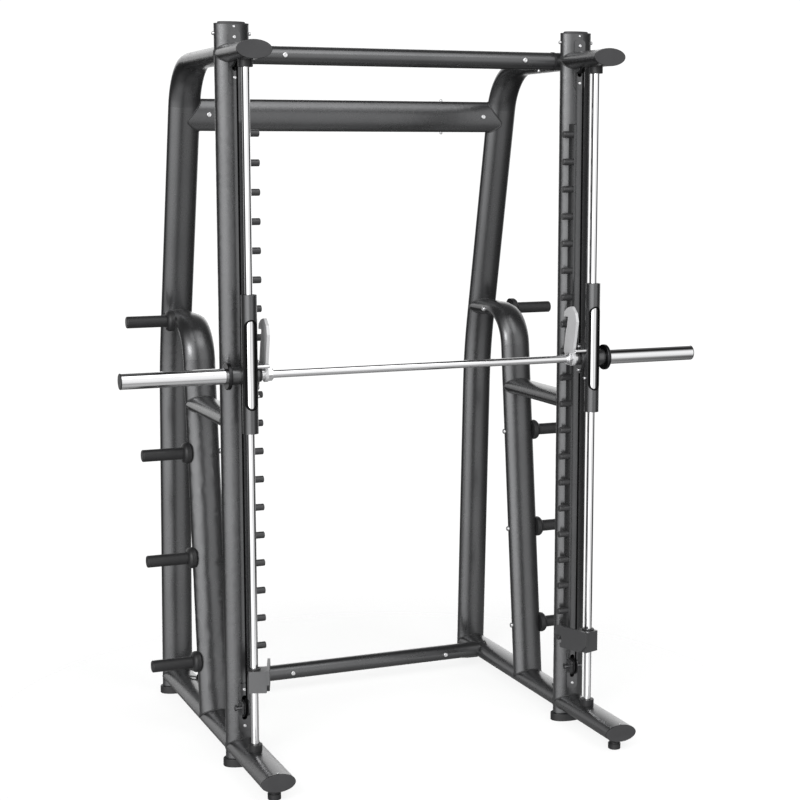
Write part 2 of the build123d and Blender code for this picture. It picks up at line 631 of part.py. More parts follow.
# ---------------------------------------------------------------- weight horns
HORN_ROOT_X = UPRIGHT_X + TUBE_A - 6.0

with BuildPart() as horn_bases:
    for side in SIDES.values():
        for distance, height in HORN_PLACES:
            centre = (side * HORN_ROOT_X, UPRIGHT_Y + distance, height)
            with BuildSketch(Plane(origin=centre, x_dir=(side, 0, 0), z_dir=(0, -1, 0))):
                with BuildLine():
                    disc = HORN_BASE_X - HORN_ROOT_X
                    Polyline((0, 0), (0, HORN_BASE_RADIUS), (0.55 * disc, HORN_BASE_RADIUS))
                    ThreePointArc(
                        (0.55 * disc, HORN_BASE_RADIUS),
                        (0.86 * disc, 0.87 * HORN_BASE_RADIUS),
                        (disc, HORN_RADIUS + 2),
                    )
                    Polyline((disc, HORN_RADIUS + 2), (disc, 0), (0, 0))
                make_face()
            revolve(axis=Axis(centre, (1, 0, 0)))
    for name in SIDES:
        add(filled_rear_post[name], mode=Mode.SUBTRACT)
        add(filled_storage_post[name], mode=Mode.SUBTRACT)
save(horn_bases.part, "horn_bases")

with BuildPart() as weight_horns:
    for side in SIDES.values():
        with BuildSketch(Plane.YZ.offset(side * HORN_BASE_X)):
            for distance, height in HORN_PLACES:
                with Locations((UPRIGHT_Y + distance, height)):
                    Circle(HORN_RADIUS)
        extrude(amount=side * (HORN_TIP_X - HORN_BASE_X))
    for x_end in (-HORN_TIP_X, HORN_TIP_X):
        tips = weight_horns.faces().filter_by(Plane.YZ).filter_by_position(Axis.X, x_end - 1, x_end + 1)
        fillet(tips.edges(), 4)
save(weight_horns.part, "weight_horns")

# ---------------------------------------------------------------- counterweight cables, pulleys and brackets
FRONT_STRAND_Y = PULLEY_Y - PULLEY_PITCH_RADIUS
REAR_STRAND_Y = PULLEY_Y + PULLEY_PITCH_RADIUS
STRAND_LENGTH = PULLEY_HEIGHTS["top"] - PULLEY_HEIGHTS["bottom"]

with BuildPart() as counterweight_cables:
    for side in SIDES.values():
        with BuildSketch(Plane.XY.offset(PULLEY_HEIGHTS["bottom"])):
            with Locations((side * CABLE_X, FRONT_STRAND_Y), (side * CABLE_X, REAR_STRAND_Y)):
                Circle(CABLE_RADIUS)
        extrude(amount=STRAND_LENGTH)
        for height, half_turn in zip(PULLEY_HEIGHTS.values(), (-180, 180)):
            with BuildSketch(Plane.XY.offset(height)):
                with Locations((side * CABLE_X, FRONT_STRAND_Y)):
                    Circle(CABLE_RADIUS)
            pulley_axis = Axis((side * CABLE_X, PULLEY_Y, height), (1, 0, 0))
            revolve(axis=pulley_axis, revolution_arc=half_turn)
save(counterweight_cables.part, "counterweight_cables")
CABLE_LOOP_LENGTH = 2 * STRAND_LENGTH + 2 * pi * PULLEY_PITCH_RADIUS
print(f"each cable loop is {CABLE_LOOP_LENGTH:.0f} mm long, radii {PULLEY_PITCH_RADIUS:.0f} mm")

with BuildPart() as pulley_axles:
    for side in SIDES.values():
        for place, height in PULLEY_HEIGHTS.items():
            half_length = AXLE_HALF_LENGTHS[place]
            start = side * CABLE_X - half_length
            with BuildSketch(Plane.YZ.offset(start)):
                with Locations((PULLEY_Y, height)):
                    Circle(AXLE_RADIUS)
            extrude(amount=2 * half_length)
            for head_x in (start, start + 2 * half_length - AXLE_HEAD_LENGTH):
                with BuildSketch(Plane.YZ.offset(head_x)):
                    with Locations((PULLEY_Y, height)):
                        Circle(AXLE_HEAD_RADIUS)
                extrude(amount=AXLE_HEAD_LENGTH)
    # the heads bear on the front of the uprights
    for name in SIDES:
        add(filled_upright[name], mode=Mode.SUBTRACT)
save(pulley_axles.part, "pulley_axles")

with BuildPart() as pulley_brackets:
    for side in SIDES.values():
        for height in PULLEY_HEIGHTS.values():
            with BuildSketch(Plane.XZ.offset(-UPRIGHT_Y)):
                with Locations((side * CABLE_X, height)):
                    RectangleRounded(2 * BRACKET_HALF_WIDTH, 2 * BRACKET_HALF_HEIGHT, BRACKET_CORNER)
            extrude(amount=UPRIGHT_Y - BRACKET_FRONT_Y)
            cheek_middle = CHEEK_GAP + 0.5 * CHEEK_THICKNESS
            for cheek in (-cheek_middle, cheek_middle):
                cheek_x = side * CABLE_X + cheek - 0.5 * CHEEK_THICKNESS
                with BuildSketch(Plane.YZ.offset(cheek_x)):
                    with Locations((0.5 * (CHEEK_FRONT_Y + UPRIGHT_Y), height)):
                        RectangleRounded(UPRIGHT_Y - CHEEK_FRONT_Y, CHEEK_HEIGHT, BRACKET_CORNER)
                extrude(amount=CHEEK_THICKNESS)
            with BuildSketch(Plane.XZ.offset(-UPRIGHT_Y)):
                with Locations((side * CABLE_X, height)):
                    SlotOverall(PULLEY_SLOT_HEIGHT, 2 * CHEEK_GAP, rotation=90)
            extrude(amount=2 * TUBE_B, mode=Mode.SUBTRACT)
    for name in SIDES:
        add(upright_seat[name], mode=Mode.SUBTRACT)
    add(pulley_axles.part, mode=Mode.SUBTRACT)
    add(frame_bolts.part, mode=Mode.SUBTRACT)
save(pulley_brackets.part, "pulley_brackets")

GROOVE_RADIUS = PULLEY_PITCH_RADIUS - CABLE_RADIUS - FIT_GAP
GROOVE_HALF_WIDTH = CABLE_RADIUS + FIT_GAP

for name, side in SIDES.items():
    for place, height in PULLEY_HEIGHTS.items():
        centre = (side * CABLE_X, PULLEY_Y, height)
        with BuildPart() as pulley:
            with BuildSketch(Plane(origin=centre, x_dir=(1, 0, 0), z_dir=(0, -1, 0))):
                with BuildLine():
                    bore = AXLE_RADIUS + RUNNING_CLEARANCE
                    Polyline(
                        (-PULLEY_HALF_WIDTH, bore),
                        (-PULLEY_HALF_WIDTH, PULLEY_RIM_RADIUS),
                        (-PULLEY_HALF_WIDTH + 1.5, PULLEY_RIM_RADIUS),
                        (-GROOVE_HALF_WIDTH, GROOVE_RADIUS),
                        (GROOVE_HALF_WIDTH, GROOVE_RADIUS),
                        (PULLEY_HALF_WIDTH - 1.5, PULLEY_RIM_RADIUS),
                        (PULLEY_HALF_WIDTH, PULLEY_RIM_RADIUS),
                        (PULLEY_HALF_WIDTH, bore),
                        close=True,
                    )
                make_face()
            revolve(axis=Axis(centre, (1, 0, 0)))
        save(pulley.part, f"{name}_{place}_pulley")

for name, side in SIDES.items():
    with BuildPart() as counterweight:
        with BuildSketch(Plane.XY.offset(COUNTERWEIGHT_Z - 0.5 * COUNTERWEIGHT_LENGTH)):
            with Locations((side * UPRIGHT_X, UPRIGHT_Y)):
                Ellipse(COUNTERWEIGHT_A, COUNTERWEIGHT_B)
            with Locations((side * CABLE_X, REAR_STRAND_Y)):
                Circle(COUNTERWEIGHT_BORE, mode=Mode.SUBTRACT)
        extrude(amount=COUNTERWEIGHT_LENGTH)
    save(counterweight.part, f"{name}_counterweight")

# ---------------------------------------------------------------- carriages
CLAMP_HALF_HEIGHT = 12.0
CLAMP_WIDTH = 18.0
CLAMP_BACK_Y = UPRIGHT_Y - 51.0
CARRIAGE_LENGTH = CARRIAGE_TOP_Z - CARRIAGE_BOTTOM_Z
FLANGE_BOLT_RISE = 40.0
FLANGE_EAR_RADIUS = 11.0
LOW_BOLT_DROP = 65.0
HOUSING_BORE = 16.0
ROD_RELIEF = 14.0


def housing_outline(side):
    """The bar's bearing housing without its bores: a round boss across the carriage, and its oval flange."""
    with BuildPart(mode=Mode.PRIVATE) as housing:
        with BuildSketch(Plane.YZ.offset(side * HOUSING_INNER_X)):
            with Locations((BAR_Y, BAR_Z)):
                Circle(HOUSING_RADIUS)
        extrude(amount=side * (HOUSING_OUTER_X - HOUSING_INNER_X))
        with BuildSketch(Plane.YZ.offset(side * HOUSING_INNER_X)) as flange:
            with Locations((BAR_Y, BAR_Z + FLANGE_BOLT_RISE), (BAR_Y, BAR_Z - FLANGE_BOLT_RISE)):
                Circle(FLANGE_EAR_RADIUS)
            with Locations((BAR_Y, BAR_Z)):
                Circle(HOUSING_RADIUS)
            make_hull()
        extrude(amount=side * FLANGE_THICKNESS)
    return housing.part


with BuildPart() as carriage_bolts:
    for side in SIDES.values():
        for rise in (FLANGE_BOLT_RISE, -FLANGE_BOLT_RISE):
            seat = (side * HOUSING_INNER_X, BAR_Y, BAR_Z + rise)
            add(bolt(seat, (-side, 0, 0), HOUSING_BOLT))
        lower_seat = (side * (UPRIGHT_X - CARRIAGE_RADIUS), ROD_Y, BAR_Z - LOW_BOLT_DROP)
        add(bolt(lower_seat, (-side, 0, 0), CARRIAGE_BOLT))
save(carriage_bolts.part, "carriage_bolts")

for name, side in SIDES.items():
    with BuildPart() as carriage:
        with BuildSketch(Plane.XY.offset(CARRIAGE_BOTTOM_Z)):
            with Locations((side * UPRIGHT_X, ROD_Y)):
                Circle(CARRIAGE_RADIUS)
                Circle(CARRIAGE_BORE, mode=Mode.SUBTRACT)
        extrude(amount=CARRIAGE_LENGTH)
        # the long window in front, through which the liner shows
        with BuildSketch(Plane.XZ.offset(-ROD_Y)):
            with Locations((side * UPRIGHT_X, 0.5 * (WINDOW_BOTTOM_Z + WINDOW_TOP_Z))):
                SlotOverall(WINDOW_TOP_Z - WINDOW_BOTTOM_Z, WINDOW_WIDTH, rotation=90)
        extrude(amount=2 * CARRIAGE_RADIUS, mode=Mode.SUBTRACT)
        add(housing_outline(side), mode=Mode.SUBTRACT)
        add(carriage_bolts.part, mode=Mode.SUBTRACT)
    save(carriage.part, f"{name}_carriage")

LINER_BOTTOM_Z = CARRIAGE_BOTTOM_Z + LINER_END_INSET
LINER_TOP_Z = CARRIAGE_TOP_Z - LINER_END_INSET

with BuildPart() as carriage_liners:
    # a thin sleeve behind the window, with a bushing on the rod at each end
    for side in SIDES.values():
        middle_bottom = LINER_BOTTOM_Z + BUSHING_LENGTH
        middle_top = LINER_TOP_Z - BUSHING_LENGTH
        for outer, inner, bottom, top in (
            (CARRIAGE_BORE, ROD_RADIUS + RUNNING_CLEARANCE, LINER_BOTTOM_Z, middle_bottom),
            (LINER_RADIUS, LINER_BORE, middle_bottom, middle_top),
            (CARRIAGE_BORE, ROD_RADIUS + RUNNING_CLEARANCE, middle_top, LINER_TOP_Z),
        ):
            with BuildSketch(Plane.XY.offset(bottom)):
                with Locations((side * UPRIGHT_X, ROD_Y)):
                    Circle(outer)
                    Circle(inner, mode=Mode.SUBTRACT)
            extrude(amount=top - bottom)
        add(housing_outline(side), mode=Mode.SUBTRACT)
    add(carriage_bolts.part, mode=Mode.SUBTRACT)
save(carriage_liners.part, "carriage_liners")

with BuildPart() as bar_bearing_housings:
    for side in SIDES.values():
        add(housing_outline(side))
    # the bar's bore, the bearing seats at both ends, and room for the guide rods
    with BuildSketch(across_machine):
        with Locations((BAR_Y, BAR_Z)):
            Circle(HOUSING_BORE)
    extrude(amount=2 * UPRIGHT_X, mode=Mode.SUBTRACT)
    for side in SIDES.values():
        for seat_x in (HOUSING_INNER_X, HOUSING_OUTER_X - BEARING_LENGTH):
            with BuildSketch(Plane.YZ.offset(side * seat_x)):
                with Locations((BAR_Y, BAR_Z)):
                    Circle(BEARING_RADIUS)
            extrude(amount=side * BEARING_LENGTH, mode=Mode.SUBTRACT)
        with BuildSketch(Plane.YZ.offset(side * UPRIGHT_X)):
            with Locations((BAR_Y, BAR_Z)):
                Circle(HOUSING_BORE)
        extrude(amount=side * (HOUSING_OUTER_X - UPRIGHT_X), mode=Mode.SUBTRACT)
        with BuildSketch(Plane.XY.offset(BAR_Z - 2 * HOUSING_RADIUS)):
            with Locations((side * UPRIGHT_X, ROD_Y)):
                Circle(ROD_RELIEF)
        extrude(amount=4 * HOUSING_RADIUS, mode=Mode.SUBTRACT)
    add(carriage_bolts.part, mode=Mode.SUBTRACT)
save(bar_bearing_housings.part, "bar_bearing_housings")

with BuildPart() as bar_bearings:
    for side in SIDES.values():
        for seat_x in (HOUSING_INNER_X, HOUSING_OUTER_X - BEARING_LENGTH):
            with BuildSketch(Plane.YZ.offset(side * seat_x)):
                with Locations((BAR_Y, BAR_Z)):
                    Circle(BEARING_RADIUS)
                    Circle(BAR_RADIUS + RUNNING_CLEARANCE, mode=Mode.SUBTRACT)
            extrude(amount=side * BEARING_LENGTH)
save(bar_bearings.part, "bar_bearings")

with BuildPart() as cable_clamps:
    for side in SIDES.values():
        with BuildSketch(Plane.XY.offset(BAR_Z - CLAMP_HALF_HEIGHT)):
            with Locations((side * CABLE_X, 0.5 * (BAR_Y + CLAMP_BACK_Y))):
                Rectangle(CLAMP_WIDTH, CLAMP_BACK_Y - BAR_Y)
            with Locations((side * CABLE_X, FRONT_STRAND_Y)):
                Circle(CABLE_RADIUS + FIT_GAP, mode=Mode.SUBTRACT)
        extrude(amount=2 * CLAMP_HALF_HEIGHT)
        with BuildSketch(Plane.YZ.offset(side * HOUSING_INNER_X)):
            with Locations((BAR_Y, BAR_Z)):
                Circle(HOUSING_RADIUS)
        extrude(amount=side * (HOUSING_OUTER_X - HOUSING_INNER_X), mode=Mode.SUBTRACT)
save(cable_clamps.part, "cable_clamps")

with BuildPart() as turn_stop_pins:
    for side in SIDES.values():
        pin_root = side * (UPRIGHT_X - CARRIAGE_RADIUS + 2)
        with BuildSketch(Plane.YZ.offset(pin_root)):
            with Locations((ROD_Y, BAR_Z + STOP_PIN_RISE)):
                Circle(STOP_PIN_RADIUS)
        extrude(amount=-side * (abs(pin_root) - HOOK_INNER_X - 1))
        with BuildSketch(Plane.XY.offset(CARRIAGE_BOTTOM_Z)):
            with Locations((side * UPRIGHT_X, ROD_Y)):
                Circle(CARRIAGE_RADIUS)
        extrude(amount=CARRIAGE_LENGTH, mode=Mode.SUBTRACT)
    tips = turn_stop_pins.faces().filter_by(Plane.YZ)
    fillet(tips.edges(), 1.5)
save(turn_stop_pins.part, "turn_stop_pins")

# ---------------------------------------------------------------- the bar
SLEEVE_CAP_THICKNESS = 3.5
SLEEVE_PLUG_LENGTH = 16.0
SLEEVE_SPIGOT_LENGTH = 22.0
BAR_END_INSET = 4.5
BAR_END_X = SLEEVE_END_X - BAR_END_INSET

with BuildPart() as bar_shaft:
    with BuildSketch(Plane.YZ.offset(-BAR_END_X)):
        with Locations((BAR_Y, BAR_Z)):
            Circle(BAR_RADIUS)
    extrude(amount=2 * BAR_END_X)
save(bar_shaft.part, "bar_shaft")

with BuildPart() as weight_sleeves:
    for side in SIDES.values():
        with BuildSketch(Plane.YZ.offset(side * SLEEVE_INNER_X)):
            with Locations((BAR_Y, BAR_Z)):
                Circle(SLEEVE_RADIUS)
                Circle(SLEEVE_BORE, mode=Mode.SUBTRACT)
        extrude(amount=side * (SLEEVE_END_X - SLEEVE_CAP_THICKNESS - SLEEVE_INNER_X))
save(weight_sleeves.part, "weight_sleeves")

with BuildPart() as sleeve_flanges:
    for side in SIDES.values():
        for radius, start, end in (
            (FLANGE_DISC_RADIUS, FLANGE_DISC_X, SLEEVE_INNER_X),
            (SLEEVE_BORE, SLEEVE_INNER_X, SLEEVE_INNER_X + SLEEVE_SPIGOT_LENGTH),
        ):
            with BuildSketch(Plane.YZ.offset(side * start)):
                with Locations((BAR_Y, BAR_Z)):
                    Circle(radius)
            extrude(amount=side * (end - start))
    rims = sleeve_flanges.edges().filter_by(GeomType.CIRCLE)
    fillet(rims.filter_by(lambda rim: abs(rim.radius - FLANGE_DISC_RADIUS) < 1), 3)
    add(bar_shaft.part, mode=Mode.SUBTRACT)
save(sleeve_flanges.part, "sleeve_flanges")

with BuildPart() as sleeve_end_plugs:
    for side in SIDES.values():
        plug_inner_x = SLEEVE_END_X - SLEEVE_PLUG_LENGTH
        for radius, start, end in (
            (SLEEVE_BORE, plug_inner_x, SLEEVE_END_X - SLEEVE_CAP_THICKNESS),
            (SLEEVE_RADIUS, SLEEVE_END_X - SLEEVE_CAP_THICKNESS, SLEEVE_END_X),
        ):
            with BuildSketch(Plane.YZ.offset(side * start)):
                with Locations((BAR_Y, BAR_Z)):
                    Circle(radius)
            extrude(amount=side * (end - start))
    rims = sleeve_end_plugs.edges().filter_by(GeomType.CIRCLE)
    outer_rims = rims.filter_by(lambda rim: abs(rim.radius - SLEEVE_RADIUS) < 1)
    fillet(outer_rims.group_by(SortBy.DISTANCE)[-1], 2)
    add(bar_shaft.part, mode=Mode.SUBTRACT)
save(sleeve_end_plugs.part, "sleeve_end_plugs")

# the hook blade, drawn in (backwards, upwards) from the bar's axis as it stands when racked, then turned forward
HOOK_FRONT = -10.5
HOOK_BACK = 53.5
NOTCH_FRONT = 50.5
NOTCH_BOTTOM = 91.0
NOTCH_TOP = 131.0
FINGER_BACK = 80.0
FINGER_LIP = 126.0
HOOK_TIP = 174.0

with BuildPart() as bar_hooks:
    for side in SIDES.values():
        blade_x = HOOK_INNER_X + (0 if side > 0 else HOOK_THICKNESS)
        lean = (0, cos(radians(HOOK_REST_TURN)), sin(radians(HOOK_REST_TURN)))
        blade_plane = Plane(origin=(side * blade_x, BAR_Y, BAR_Z), x_dir=lean, z_dir=(1, 0, 0))
        with BuildSketch(blade_plane) as blade:
            with BuildLine():
                Polyline(
                    (HOOK_FRONT, 0),
                    (HOOK_FRONT, 132),
                    (4, 158),
                    (34, HOOK_TIP),
                    (62, 160),
                    (FINGER_BACK, 142),
                    (FINGER_BACK, FINGER_LIP),
                    (72, FINGER_LIP),
                    (72, NOTCH_TOP),
                    (NOTCH_FRONT, NOTCH_TOP),
                    (NOTCH_FRONT, NOTCH_BOTTOM),
                    (HOOK_BACK, NOTCH_BOTTOM),
                    (HOOK_BACK, 10),
                    (20, -10),
                    close=True,
                )
            make_face()
            corners = blade.vertices()
            fillet(corners.filter_by(lambda v: v.Y > 150 and v.X > 10), 14)
            fillet(corners.filter_by(lambda v: abs(v.Y - 132) < 1 or abs(v.Y - 158) < 1), 20)
            fillet(corners.filter_by(lambda v: abs(v.X - NOTCH_FRONT) < 0.1 and v.Y > 120), 9)
            fillet(corners.filter_by(lambda v: abs(v.X - HOOK_BACK) < 0.1 and v.Y < 20), 14)
            Circle(HOOK_HUB_RADIUS)
            Circle(BAR_RADIUS, mode=Mode.SUBTRACT)
        extrude(amount=HOOK_THICKNESS)
save(bar_hooks.part, "bar_hooks")

with BuildPart() as bar_collars:
    for side in SIDES.values():
        for radius, start, end in (
            (COLLAR_RADIUS, HOOK_INNER_X + HOOK_THICKNESS, RING_INNER_X),
            (RING_RADIUS, RING_INNER_X, RING_OUTER_X),
        ):
            with BuildSketch(Plane.YZ.offset(side * start)):
                with Locations((BAR_Y, BAR_Z)):
                    Circle(radius)
                    Circle(BAR_RADIUS, mode=Mode.SUBTRACT)
            extrude(amount=side * (end - start))
save(bar_collars.part, "bar_collars")

NUT_RADIUS = 23.0
NUT_LENGTH = 13.0
WASHER_RADIUS = 18.0
WASHER_THICKNESS = 4.0

with BuildPart() as bar_nuts:
    for side in SIDES.values():
        with BuildSketch(Plane.YZ.offset(side * HOOK_INNER_X)):
            with Locations((BAR_Y, BAR_Z)):
                RegularPolygon(NUT_RADIUS, 6)
                Circle(BAR_RADIUS, mode=Mode.SUBTRACT)
        extrude(amount=-side * NUT_LENGTH)
        with BuildSketch(Plane.YZ.offset(side * (HOOK_INNER_X - NUT_LENGTH))):
            with Locations((BAR_Y, BAR_Z)):
                Circle(WASHER_RADIUS)
                Circle(BAR_RADIUS, mode=Mode.SUBTRACT)
        extrude(amount=-side * WASHER_THICKNESS)
save(bar_nuts.part, "bar_nuts")

# ---------------------------------------------------------------- safety stops
# the stop hook, drawn in (backwards from the uprights' centre, height) as it stands on its peg
STOP_HOOK_OUTLINE = (
    (-180.0, 318.0),
    (-180.0, 364.0),
    (-39.0, 364.0),
    (-29.0, 331.0),
    (-64.0, 331.0),
    (-64.0, 303.0),
    (-56.0, 303.0),
    (-58.0, 289.0),
    (-150.0, 289.0),
)
STOP_NOTCH_CORNER = 8.0
STOP_INNER_X = STOP_X - STOP_HALF_SIDE


def swung(side, part):
    """A piece of a stop, turned about its guide rod from its peg to where it stands at rest."""
    rod_axis = Axis((side * UPRIGHT_X, ROD_Y, 0), (0, 0, 1))
    return part.rotate(rod_axis, side * STOP_REST_SWING)


for name, side in SIDES.items():
    with BuildPart() as stop_buffer:
        for radius, bottom, top in (
            (STOP_BUSH_RADIUS, STOP_BOTTOM_Z, STOP_TOP_Z + FIT_GAP),
            (STOP_BUFFER_RADIUS, STOP_TOP_Z + FIT_GAP, STOP_TOP_Z + STOP_BUFFER_HEIGHT),
        ):
            with BuildSketch(Plane.XY.offset(bottom)):
                with Locations((side * UPRIGHT_X, ROD_Y)):
                    Circle(radius)
                    Circle(ROD_RADIUS + RUNNING_CLEARANCE, mode=Mode.SUBTRACT)
            extrude(amount=top - bottom)
        rims = stop_buffer.edges().filter_by(GeomType.CIRCLE)
        fillet(rims.filter_by(lambda rim: abs(rim.radius - STOP_BUFFER_RADIUS) < 1).sort_by(Axis.Z)[-1], 2)
    save(stop_buffer.part, f"{name}_stop_buffer")

    with BuildPart() as stop_block:
        with BuildSketch(Plane.XY.offset(STOP_BOTTOM_Z)):
            with Locations((side * STOP_X, ROD_Y)):
                Rectangle(2 * STOP_HALF_SIDE, 2 * STOP_HALF_SIDE)
            with Locations((side * UPRIGHT_X, ROD_Y)):
                Circle(STOP_BUSH_RADIUS + RUNNING_CLEARANCE, mode=Mode.SUBTRACT)
        extrude(amount=STOP_TOP_Z - STOP_BOTTOM_Z)
        outer_corners = stop_block.edges().filter_by(Axis.Z).sort_by(Axis((0, 0, 0), (side, 0, 0)))[-2:]
        fillet(outer_corners, STOP_CORNER)
    save(swung(side, stop_block.part), f"{name}_stop_block")

    with BuildPart() as stop_hook:
        hook_start_x = side * STOP_INNER_X - (STOP_HOOK_THICKNESS if side > 0 else 0)
        with BuildSketch(Plane.YZ.offset(hook_start_x)) as stop_blade:
            with BuildLine():
                Polyline(*[(UPRIGHT_Y + back, height) for back, height in STOP_HOOK_OUTLINE], close=True)
            make_face()
            notch_front = stop_blade.vertices().filter_by(
                lambda v: abs(v.X - UPRIGHT_Y - STOP_HOOK_OUTLINE[4][0]) < FIT_GAP
            )
            fillet(notch_front, STOP_NOTCH_CORNER)
        extrude(amount=STOP_HOOK_THICKNESS)
    save(swung(side, stop_hook.part), f"{name}_stop_hook")

save(frame_bolts.part, "frame_bolts")
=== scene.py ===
"""The smith machine's looks: materials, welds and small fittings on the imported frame. Metres throughout."""

import json
import math

import bmesh
import bpy
from mathutils import Matrix, Vector
from mathutils.bvhtree import BVHTree


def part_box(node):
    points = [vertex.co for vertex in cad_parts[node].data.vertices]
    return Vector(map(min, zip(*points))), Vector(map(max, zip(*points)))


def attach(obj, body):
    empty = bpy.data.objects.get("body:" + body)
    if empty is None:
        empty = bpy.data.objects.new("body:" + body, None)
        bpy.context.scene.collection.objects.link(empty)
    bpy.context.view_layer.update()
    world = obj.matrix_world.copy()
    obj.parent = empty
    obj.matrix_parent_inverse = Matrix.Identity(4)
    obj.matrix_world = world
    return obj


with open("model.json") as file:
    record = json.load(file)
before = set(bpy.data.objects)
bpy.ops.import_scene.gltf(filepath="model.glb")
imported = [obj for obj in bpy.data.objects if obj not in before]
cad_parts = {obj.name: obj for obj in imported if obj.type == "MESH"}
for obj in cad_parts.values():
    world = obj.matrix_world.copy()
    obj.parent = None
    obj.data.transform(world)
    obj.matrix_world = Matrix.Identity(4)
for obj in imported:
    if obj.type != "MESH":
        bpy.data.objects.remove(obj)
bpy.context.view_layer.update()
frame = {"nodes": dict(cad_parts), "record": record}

SIDES = {"left": -1, "right": 1}
NODES = frame["nodes"]
UP = Vector((0, 0, 1))


def centre(node):
    """The middle of a CAD node's box."""
    low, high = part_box(node)
    return (low + high) / 2


# ---------------------------------------------------------------- sizes read from the frame
upright_low, upright_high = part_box("right_upright")
UPRIGHT_X = (upright_low.x + upright_high.x) / 2
UPRIGHT_Y = (upright_low.y + upright_high.y) / 2
TUBE_A = (upright_high.x - upright_low.x) / 2
TUBE_B = (upright_high.y - upright_low.y) / 2
RAIL_Z = centre("right_rear_rail").z
ARM_Z = centre("top_arms").z
BRACE_Z = centre("side_braces").z
BAR_AXIS = centre("bar_shaft")
ROD_Y = centre("guide_rods").y
STORAGE_TOP_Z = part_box("right_storage_post")[1].z - TUBE_B


# ---------------------------------------------------------------- material building
def fill_ramp(node, stops):
    """Set a colour ramp's stops, given as (place, grey or colour)."""
    band = node.color_ramp
    while len(band.elements) < len(stops):
        band.elements.new(0.5)
    for element, (position, colour) in zip(band.elements, stops):
        element.position = position
        tone = (colour,) * 3 if isinstance(colour, float) else colour
        element.color = (*tone, 1.0)


class Recipe:
    """A new node material with its shader and a few helpers for the textures that feed it."""

    def __init__(self, name):
        self.material = bpy.data.materials.new(name)
        self.material.use_nodes = True
        self.tree = self.material.node_tree
        self.shader = self.tree.nodes["Principled BSDF"]
        self.place = self.tree.nodes.new("ShaderNodeTexCoord").outputs["Object"]

    def link(self, output, socket):
        """A wire from an output to a socket."""
        self.tree.links.new(output, socket)

    def noise(self, scale, detail=3.0, roughness=0.5, stretch=None):
        """A noise texture over the piece; stretch scales its three axes."""
        texture = self.tree.nodes.new("ShaderNodeTexNoise")
        texture.inputs["Scale"].default_value = scale
        texture.inputs["Detail"].default_value = detail
        texture.inputs["Roughness"].default_value = roughness
        place = self.place
        if stretch:
            mapping = self.tree.nodes.new("ShaderNodeMapping")
            mapping.inputs["Scale"].default_value = stretch
            self.link(self.place, mapping.inputs["Vector"])
            place = mapping.outputs["Vector"]
        self.link(place, texture.inputs["Vector"])
        return texture.outputs["Fac"]

    def cells(self, scale):
        """A random grey per cell, for flakes and grains."""
        texture = self.tree.nodes.new("ShaderNodeTexVoronoi")
        texture.inputs["Scale"].default_value = scale
        self.link(self.place, texture.inputs["Vector"])
        split = self.tree.nodes.new("ShaderNodeSeparateColor")
        self.link(texture.outputs["Color"], split.inputs["Color"])
        return split.outputs["Red"]

    def ramp(self, value, stops):
        """The value turned into a colour; stops are (place, grey or colour)."""
        node = self.tree.nodes.new("ShaderNodeValToRGB")
        fill_ramp(node, stops)
        self.link(value, node.inputs["Fac"])
        return node.outputs["Color"]

    def multiply(self, first, second, factor):
        """The first colour darkened by the second, by a share from 0 to 1."""
        node = self.tree.nodes.new("ShaderNodeMix")
        node.data_type = "RGBA"
        node.blend_type = "MULTIPLY"
        node.inputs["Factor"].default_value = factor
        self.link(first, node.inputs["A"])
        self.link(second, node.inputs["B"])
        return node.outputs["Result"]

    def colour(self, output):
        """The base colour taken from an output."""
        self.link(output, self.shader.inputs["Base Color"])

    def rough(self, value, low, high):
        """Roughness that follows a texture between two limits."""
        node = self.tree.nodes.new("ShaderNodeMapRange")
        node.inputs["To Min"].default_value = low
        node.inputs["To Max"].default_value = high
        self.link(value, node.inputs["Value"])
        self.link(node.outputs["Result"], self.shader.inputs["Roughness"])

    def bump(self, value, distance):
        """Relief that follows a texture, as deep as the distance."""
        node = self.tree.nodes.new("ShaderNodeBump")
        node.inputs["Distance"].default_value = distance
        self.link(value, node.inputs["Height"])
        self.link(node.outputs["Normal"], self.shader.inputs["Normal"])

    def set(self, **values):
        """Constant shader values, by socket name with underscores for spaces."""
        for name, value in values.items():
            self.shader.inputs[name.replace("_", " ")].default_value = value


def shade(colour, factor):
    """A colour made darker or lighter."""
    return tuple(channel * factor for channel in colour)


def powder_coat(name, colour, metallic, rough_low, rough_high):
    """Baked powder paint with fine metal flakes and a slight orange peel."""
    recipe = Recipe(name)
    cloud = recipe.noise(5.0, 4.0)
    body = recipe.ramp(cloud, [(0.3, shade(colour, 0.94)), (0.7, shade(colour, 1.06))])
    flakes = recipe.ramp(recipe.cells(2600.0), [(0.0, 0.86), (0.9, 1.0), (1.0, 1.30)])
    recipe.colour(recipe.multiply(body, flakes, 0.75))
    recipe.rough(recipe.noise(11.0, 5.0), rough_low, rough_high)
    recipe.bump(recipe.noise(420.0, 2.0), 0.00007)
    recipe.set(Metallic=metallic, Coat_Weight=0.18, Coat_Roughness=0.22)
    return recipe.material


def moulded_plastic(name, colour, rough_low, rough_high, specular=0.45):
    """Dark moulded plastic with a fine spark-eroded grain."""
    recipe = Recipe(name)
    cloud = recipe.noise(14.0, 3.0)
    recipe.colour(recipe.ramp(cloud, [(0.3, shade(colour, 0.88)), (0.75, shade(colour, 1.14))]))
    recipe.rough(recipe.noise(40.0, 4.0), rough_low, rough_high)
    recipe.bump(recipe.noise(1900.0, 2.0), 0.00008)
    recipe.set(Specular_IOR_Level=specular)
    return recipe.material


